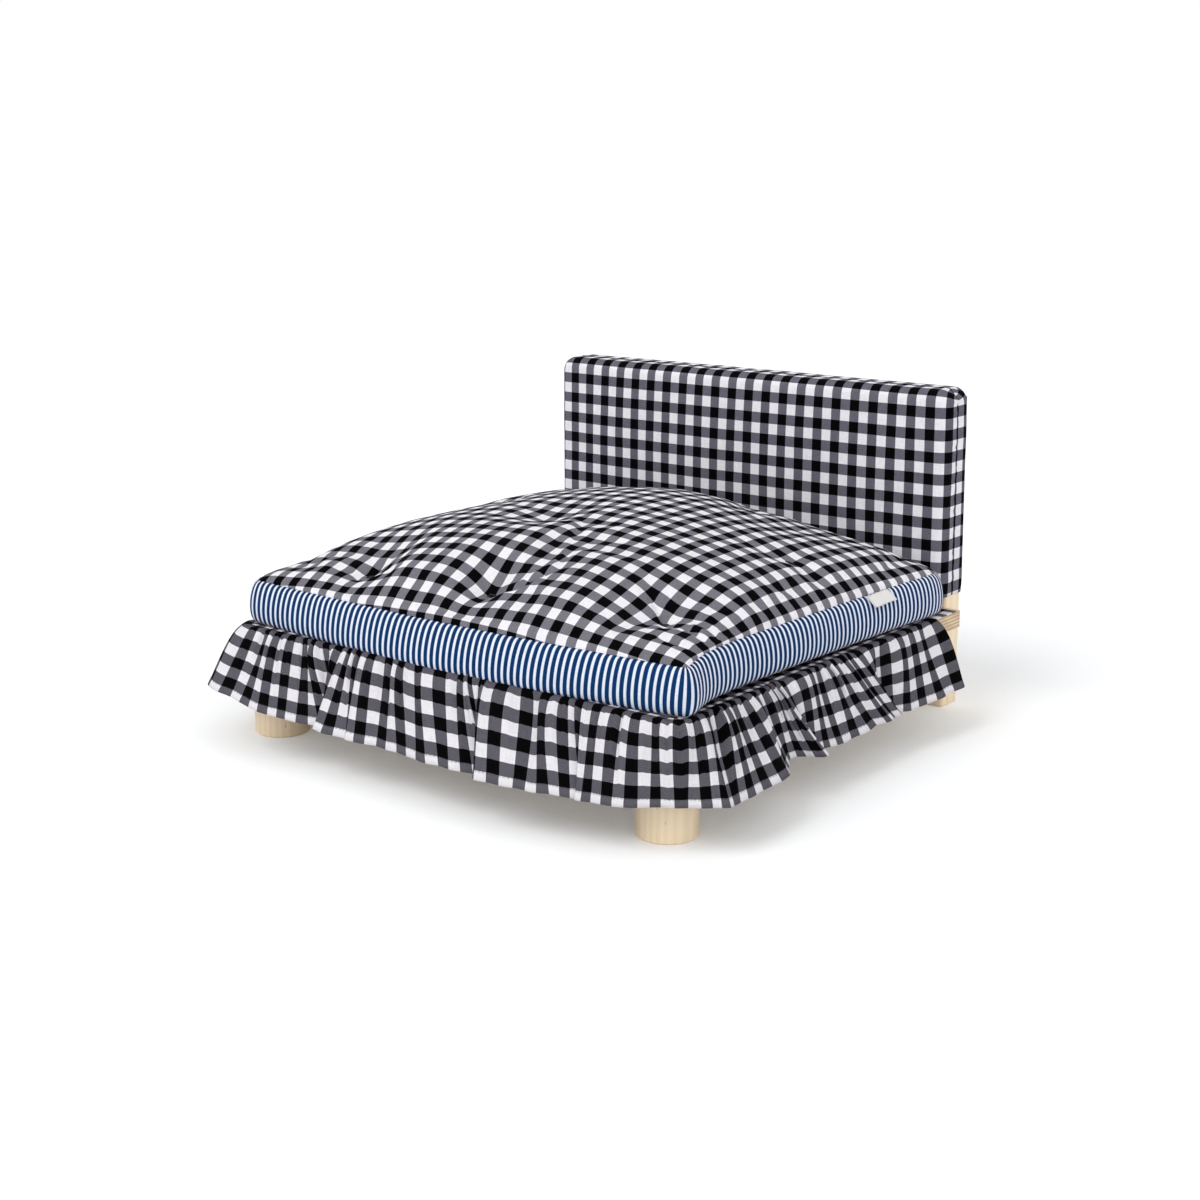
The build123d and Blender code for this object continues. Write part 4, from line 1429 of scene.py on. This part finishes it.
@dataclass
class Skirt:
    """The gathered skirt round three sides, and the flat sheet that it is sewn to.

    Each station gives, in millimetres, the cloth's own distance from the front
    left column, the distance along the sewn edge from the front's middle, and
    the hem's place there. Folds are stations where the hem turns back.
    """

    cloth: float = 0.0007
    columns: int = 1440
    rows: int = 34
    gather: float = 0.0019
    hem_fold: float = 0.0068
    inset: float = 0.010
    row_rise: float = 1.025
    strip_at: float = 0.50
    hem_row: float = 0.0018
    first_white: float = 0.005
    fold_round: float = 0.009
    gather_round: float = 0.030
    shelf_rows: int = 6
    leave: float = 0.0060
    arrive: float = 0.0035
    arrive_share: tuple[float, float, float] = (0.40, 0.40, 0.46)
    heap: float = 0.0009
    sway: float = 0.0030
    flutter: float = 0.0008
    hem_thicker: float = 0.0004
    stations: tuple[tuple[float, float, float, float, float], ...] = (
        (-500, -641, -268, 198, 38), (-480, -622, -272, 176, 38), (-460, -604, -266, 155, 38),
        (-440, -590, -257, 142, 38), (-420, -574, -268, 133, 38), (-400, -556, -276, 112, 38),
        (-380, -538, -273, 90, 38), (-360, -522, -266, 70, 38), (-340, -506, -261, 58, 38.5),
        (-310, -484, -272, 44, 38.5), (-290, -466, -279, 24, 39), (-270, -450, -277, 3, 39),
        (-250, -436, -267, -14, 39), (-230, -424, -256, -24, 39), (-210, -412, -271, -34, 39.5),
        (-190, -396, -281, -54, 39.5), (-170, -380, -280, -76, 40), (-150, -366, -272, -94, 40),
        (-130, -352, -266, -108, 40), (-100, -332, -277, -124, 41), (-80, -318, -283, -144, 41.5),
        (-60, -302, -281, -162, 43), (-40, -284, -275, -182, 45), (-30, -275, -270, -198, 46.5),
        (-20, -264, -267, -216, 48), (-10, -250, -261, -236, 49.5), (-5, -244, -254, -246, 50),
        (0, -238, -247.5, -248.5, 49.6), (20, -217, -212.7, -255, 47.5),
        (40, -200.5, -181.8, -261.1, 45.2), (60, -187, -157.7, -261.6, 43),
        (80, -168, -140.8, -256.7, 41), (100, -154, -118.2, -251.9, 39.5),
        (130, -136, -90, -236, 38.5), (160, -110, -109.6, -255.4, 38.5),
        (170, -103, -95.1, -258, 38.5), (180, -97.5, -82, -257.6, 38.4),
        (190, -92, -68, -257, 38.4), (196, -89, -61, -253, 38.4), (203, -85, -67.5, -259.5, 38.3),
        (210, -79, -56, -259, 38.2), (220, -70, -45, -257, 38.2), (230, -60, -33.5, -254.6, 38.1),
        (240, -50, -20.5, -255.6, 38.1), (250, -43, -8.4, -256.2, 38),
        (260, -35.5, 4.2, -259.3, 38), (280, -15.5, 29, -260.6, 38), (300, 10.5, 53.9, -261.6, 38),
        (312, 27, 67, -260, 38), (335, 35, 93, -251, 38), (358, 52, 84, -268, 38),
        (370, 63, 97.4, -266.4, 38), (380, 79.5, 110.5, -266.3, 38),
        (400, 102.5, 134.3, -262.8, 38), (420, 122, 154.3, -258.6, 38),
        (440, 140.5, 172.4, -254.3, 38), (454, 149, 180.5, -249, 38), (461, 155, 176.5, -255.8, 38),
        (480, 173.5, 190.4, -253.1, 38), (500, 192.5, 208.3, -250.1, 38),
        (520, 210.5, 226, -241, 38), (540, 230, 239.2, -228.5, 38.1), (560, 246, 256.9, -218, 38.2),
        (580, 262, 272.1, -207.4, 38.4), (600, 277, 281, -198.5, 38.5),
        (612, 285, 282.9, -193.5, 38.6), (630, 294, 280.7, -175, 38.7),
        (650, 306, 281, -152.6, 38.8), (670, 321, 280.5, -126.7, 38.9), (680, 328, 275.8, -108, 39),
        (690, 335, 270, -99, 39), (705, 346, 262, -87, 38.8), (718, 355, 255, -75, 38.6),
        (732, 361, 256, -63, 38.3), (742, 365, 262, -57, 38), (750, 367, 269, -55, 38),
        (758, 369, 275, -50, 38), (766, 372, 273.5, -43.5, 38), (774, 377, 267, -41, 38.5),
        (782, 386, 259, -43, 38.5), (790, 397, 255, -46, 38.5), (800, 411, 259.5, -39, 38),
        (820, 425, 264.2, -25.7, 38), (840, 438, 268.1, -11, 38), (860, 450, 267.2, 16.7, 38),
        (880, 462, 265.6, 50, 38), (892, 472, 268.5, 64, 38), (900, 478, 268, 70, 38),
        (920, 486, 266.2, 80, 38), (932, 495, 267, 91, 38), (960, 527, 251, 73, 38),
        (990, 562, 263.4, 98.6, 38), (1000, 575, 267.2, 105.2, 38), (1020, 595, 270.5, 130.1, 38.6),
        (1040, 616, 274, 157.3, 40), (1060, 641, 275.9, 188.8, 41.8),
    )

    def __post_init__(self) -> None:
        """Reads the deck's edge and the sheet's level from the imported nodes."""
        _, sheet_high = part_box("skirt_sheet")
        deck_low, deck_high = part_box("deck_panel")
        self.edge_x, self.edge_y = deck_high.x + 0.0015, deck_low.y - 0.0015
        self.edge_level = sheet_high.z + 0.0007
        self.edge_corner = 0.014

    def edge(self, along: Array, inset: float) -> tuple[Array, Array]:
        """The line round the deck's front and sides.

        It runs forward along the left side, round a quarter circle, along the
        front, round the other quarter circle and back along the right side.

        Args:
            along: distances from the front's middle.
            inset: how far inside the deck's edge the line is.

        Returns:
            The points and their outward normals.
        """
        half = self.edge_x - self.edge_corner
        turn = self.edge_corner * QUARTER
        away = np.abs(along)
        angle = np.clip((away - half) / turn, 0.0, 1.0) * QUARTER
        past = np.clip(away - half - turn, 0.0, None)
        radius = self.edge_corner - inset
        x = np.minimum(away, half) + radius * np.sin(angle)
        y = self.edge_y + self.edge_corner - radius * np.cos(angle) + past
        sign = np.where(along < 0, -1.0, 1.0)
        normal = np.stack([np.sin(angle) * sign, -np.cos(angle)], axis=1)
        return np.stack([x * sign, y], axis=1), normal

    def lines(self) -> tuple[Array, Array, Array]:
        """The stations drawn out to smooth lines.

        Straight runs between the stations are rounded by a bell-shaped mean over
        a short length at the hem and a longer one at the sewn edge.

        Returns:
            The cloth's own distances, the distances along the edge, and the hem's points.
        """
        knots = np.array(self.stations) * MM
        own = np.linspace(knots[0, 0], knots[-1, 0], self.columns)
        step = own[1] - own[0]
        drawn = []
        for column in range(1, 5):
            width = 2 * round((self.gather_round if column == 1 else self.fold_round) / step / 2)
            kernel = np.hanning(width + 1)
            padded = np.interp(own, knots[:, 0], knots[:, column])
            first, last = padded[0], padded[-1]
            ramp = np.arange(1, width // 2 + 1)
            before = first - (padded[1] - first) * ramp[::-1]
            after = last + (last - padded[-2]) * ramp
            padded = np.concatenate([before, padded, after])
            drawn.append(np.convolve(padded, kernel / kernel.sum(), mode="valid"))
        return own, drawn[0], np.stack(drawn[1:], axis=1)

    def ruffle(self) -> tuple[Patch, float, float]:
        """The gathered strip as a grid from its sewn edge down to its hem.

        A column runs flat from the sewn edge to the deck's edge, and then along
        a cubic curve that leaves the edge level and reaches the hem in a
        straight fall. Gathers stand off it near the top, as irregular waves
        times the share of the fall times one less that share squared, and
        shallow waves stand off its middle. The strip is cut to one height, that
        of the column where it hangs straight, so every column shows all its rows.

        Returns:
            The patch, and the flat strip's length and height.
        """
        own, along, hem = self.lines()
        sewn, _ = self.edge(along, self.inset)
        edge, normal = self.edge(along, 0.0)
        level = np.full((self.columns, 1), self.edge_level)
        start = np.concatenate([edge, level], axis=1)[:, None]
        inner = np.concatenate([sewn, level], axis=1)[:, None]
        end = hem[:, None]
        outward = np.concatenate([normal, np.zeros_like(level)], axis=1)[:, None]
        run = end - start
        first = start + outward * self.leave
        second = start + run * self.arrive_share + outward * self.arrive
        share = np.linspace(0.0, 1.0, self.rows - self.shelf_rows)[None, :, None]
        fall = (
            start * (1 - share) ** 3
            + first * 3 * share * (1 - share) ** 2
            + second * 3 * share**2 * (1 - share)
            + end * share**3
        )
        lead = np.linspace(0.0, 1.0, self.shelf_rows, endpoint=False)[None, :, None]
        shelf = inner * (1 - lead) + start * lead
        crowd = np.clip(2.0 - np.gradient(along, own) * 1.6, 0.35, 1.4)
        near = share * (1 - share) ** 2 * 6.75
        waves = ripple(own, 0.0125, 73) + 0.5 * ripple(own, 0.007, 75)
        standing = (self.gather * crowd * waves)[:, None, None] * near
        standing += (self.sway * ripple(own, 0.048, 77))[:, None, None] * np.sin(share * math.pi)
        standing += (self.flutter * ripple(own, 0.03, 79))[:, None, None] * share**2
        fall = fall + outward * standing
        heap = self.heap * (crowd * (waves + 1.0))[:, None]
        lifted = heap * np.exp(-((lead[..., 0] - 1.0) / 0.3) ** 2)
        flatly = np.zeros_like(lifted)
        shelf = shelf + np.stack([flatly, flatly, lifted], axis=-1)
        fall[..., 2] += heap * np.exp(-(share[..., 0] / 0.12) ** 2)
        points = np.concatenate([shelf, fall], axis=1)
        steps = np.linalg.norm(np.diff(points, axis=1), axis=2)
        depth = np.concatenate([np.zeros((self.columns, 1)), np.cumsum(steps, axis=1)], axis=1)
        whole = depth[:, -1:]
        strip = float(np.interp(self.strip_at, own, whole[:, 0]))
        height = (whole - depth) * strip / whole
        thicker = self.hem_thicker * smoothstep(self.hem_fold + 0.0006, self.hem_fold, height)
        points[..., :2] += normal[:, None] * thicker[..., None]
        across = np.repeat((own - self.first_white)[:, None], self.rows, axis=1)
        flat = np.stack([across, (height - self.hem_row) / self.row_rise], axis=-1)
        hem_length = float(path_length(hem)[-1])
        return Patch(points, flat, flip=False), hem_length, float(np.median(depth[:, -1]))

    def flat_sheet(self) -> Patch:
        """The sheet on the deck.

        It is a rectangle with its front corners rounded by a 20th-power mean, and
        faint creases.
        """
        low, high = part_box("skirt_sheet")
        share = np.linspace(-1.0, 1.0, 101)
        a, b = np.meshgrid(share, share, indexing="ij")
        round_off = np.where(b < 0, corner_share(a, b, 20), 1.0)
        x = a * round_off * (high.x + 0.0008)
        y = (low.y + high.y) / 2 + b * round_off * ((high.y - low.y) / 2 + 0.0004)
        z = high.z - 0.00015 + 0.00025 * crumple(x, y, 0.06, 83)
        points = np.stack([x, y, z], axis=-1)
        return Patch(points, np.stack([x, y], axis=-1))

    def build(self, finishes: Finishes) -> None:
        """Makes, dresses and places the ruffle and its sheet."""
        patch, length, height = self.ruffle()
        ruffle = build_object("skirt_ruffle", [patch])
        finish_cloth(ruffle, self.cloth)
        # The ruffle wears the darker copy of the gingham: painted shade, with its real hem stitch
        dress(ruffle, finishes.shaded_skirt_gingham)
        place_piece(
            ruffle, Body.FRAME, "gingham",
            "skirt_front", "skirt_left", "skirt_right", "skirt_left_corner", "skirt_right_corner",
        )
        sheet = build_object("skirt_flat_sheet", [self.flat_sheet()])
        finish_cloth(sheet, 0.0006)
        dress(sheet, finishes.gingham)
        place_piece(sheet, Body.FRAME, "gingham", "skirt_sheet")


# ----------------------------------------------------------- timber and steel


@dataclass
class Timber:
    """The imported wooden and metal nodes, which keep their shapes and get their finishes."""

    upright: tuple[str, ...] = (
        "front_left_foot", "front_right_foot", "rear_left_post", "rear_right_post",
    )
    crosswise: tuple[str, ...] = ("front_rail", "rear_rail", "headboard_top_rail")
    lengthwise: tuple[str, ...] = ("left_side_rail", "right_side_rail")

    def build(self, finishes: Finishes) -> None:
        """Dresses the nodes in pine, plywood and zinc."""
        grains = (
            (Grain.UP, self.upright),
            (Grain.ACROSS, self.crosswise),
            (Grain.BACKWARD, self.lengthwise),
        )
        for grain, names in grains:
            for name in names:
                dress(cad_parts[name], finishes.pine[grain])
                LOG.info("%s: pine, grain %s", name, grain.name.lower())
        for name, axis in (("deck_panel", 2), ("headboard_board", 1)):
            dress(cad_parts[name], finishes.plywood[axis])
        for name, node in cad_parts.items():
            if name.endswith(("_bolt", "_nut", "_screws")):
                dress(node, finishes.zinc)
                LOG.info("%s: zinc", name)


# ------------------------------------------------------------------- studio


@dataclass
class Studio:
    """The floor, the lamps, the surroundings and the camera."""

    camera_place: tuple[float, float, float] = (1.04997, -1.34928, 0.53842)
    camera_turn: float = 0.6597
    camera_tilt: float = 0.1786
    lens: float = 57.648
    sensor: float = 36.0
    shift_y: float = -0.1
    floor_reach: float = 60.0
    surround: float = 0.66
    floor_colour: Colour = (0.935, 0.945, 0.955, 1.0)
    floor_glow: Colour = (0.97, 1.0, 1.02, 1.0)
    glow_strength: float = 0.14

    def add_floor(self) -> None:
        """A wide white floor that keeps the object's shadow."""
        reach = self.floor_reach
        mesh = bpy.data.meshes.new("floor")
        corners = [(-reach, -reach, 0), (reach, -reach, 0), (reach, reach, 0), (-reach, reach, 0)]
        mesh.from_pydata(corners, [], [(0, 1, 2, 3)])
        floor = bpy.data.objects.new("floor", mesh)
        bpy.context.scene.collection.objects.link(floor)
        material, w, shader = new_material("floor")
        shader.inputs["Base Color"].default_value = self.floor_colour
        shader.inputs["Roughness"].default_value = 1.0
        shader.inputs["Specular IOR Level"].default_value = 0.0
        seen = w.add("ShaderNodeLightPath").outputs["Is Camera Ray"]
        shader.inputs["Emission Color"].default_value = self.floor_glow
        w.feed(shader.inputs["Emission Strength"], w.math("MULTIPLY", seen, self.glow_strength))
        floor.data.materials.append(material)

    def add_light(self) -> None:
        """A soft key from the front, a fainter one from the right, and an even surround."""
        for name, strength, angle, place in (
            ("key", 1.25, 0.7, (-0.5, -1.25, 1.45)),
            ("fill", 0.70, 1.2, (1.6, -0.5, 0.9)),
        ):
            lamp = bpy.data.lights.new(name, "SUN")
            lamp.energy, lamp.angle = strength, angle
            light = bpy.data.objects.new(name, lamp)
            light.rotation_euler = Vector(place).to_track_quat("Z", "Y").to_euler()
            bpy.context.scene.collection.objects.link(light)
        world = bpy.data.worlds.new("surround")
        bpy.context.scene.world = world
        world.use_nodes = True
        world.node_tree.nodes.clear()
        w = Wiring(world.node_tree)
        paths = w.add("ShaderNodeLightPath").outputs
        seen = w.math("MAXIMUM", paths["Is Camera Ray"], paths["Is Glossy Ray"])
        seen = w.math("MAXIMUM", seen, paths["Is Transmission Ray"])
        strength = w.math("MULTIPLY_ADD", seen, 1.0 - self.surround, self.surround)
        feeds = {"Color": (1.0, 1.0, 1.0, 1.0), "Strength": strength}
        background = w.add("ShaderNodeBackground", feeds=feeds)
        w.add("ShaderNodeOutputWorld", feeds={"Surface": background.outputs[0]})

    def add_camera(self) -> None:
        """The camera at the photograph's place and angle."""
        data = bpy.data.cameras.new("camera")
        data.lens, data.sensor_width = self.lens, self.sensor
        data.sensor_fit = "HORIZONTAL"
        data.shift_y = self.shift_y
        data.clip_end = 200.0
        camera = bpy.data.objects.new("camera", data)
        back = Vector((
            math.sin(self.camera_turn) * math.cos(self.camera_tilt),
            -math.cos(self.camera_turn) * math.cos(self.camera_tilt),
            math.sin(self.camera_tilt),
        ))
        turn = (-back).to_track_quat("-Z", "Y").to_matrix().to_4x4()
        camera.matrix_world = Matrix.Translation(self.camera_place) @ turn
        bpy.context.scene.collection.objects.link(camera)
        bpy.context.scene.camera = camera

    def build(self) -> None:
        """Sets up the studio and the plain view transform."""
        self.add_floor()
        self.add_light()
        self.add_camera()
        bpy.context.scene.view_settings.view_transform = "Standard"
        LOG.info("studio ready")


def main() -> None:
    """Builds the studio and every sub-assembly in order."""
    logging.basicConfig(level=logging.INFO, format="%(message)s")
    Studio().build()
    finishes = Finishes.build()
    for assembly in (Timber(), Headboard(), Cushion(), Skirt()):
        assembly.build(finishes)
        LOG.info("%s done", type(assembly).__name__)


if __name__ == "__main__":
    main()
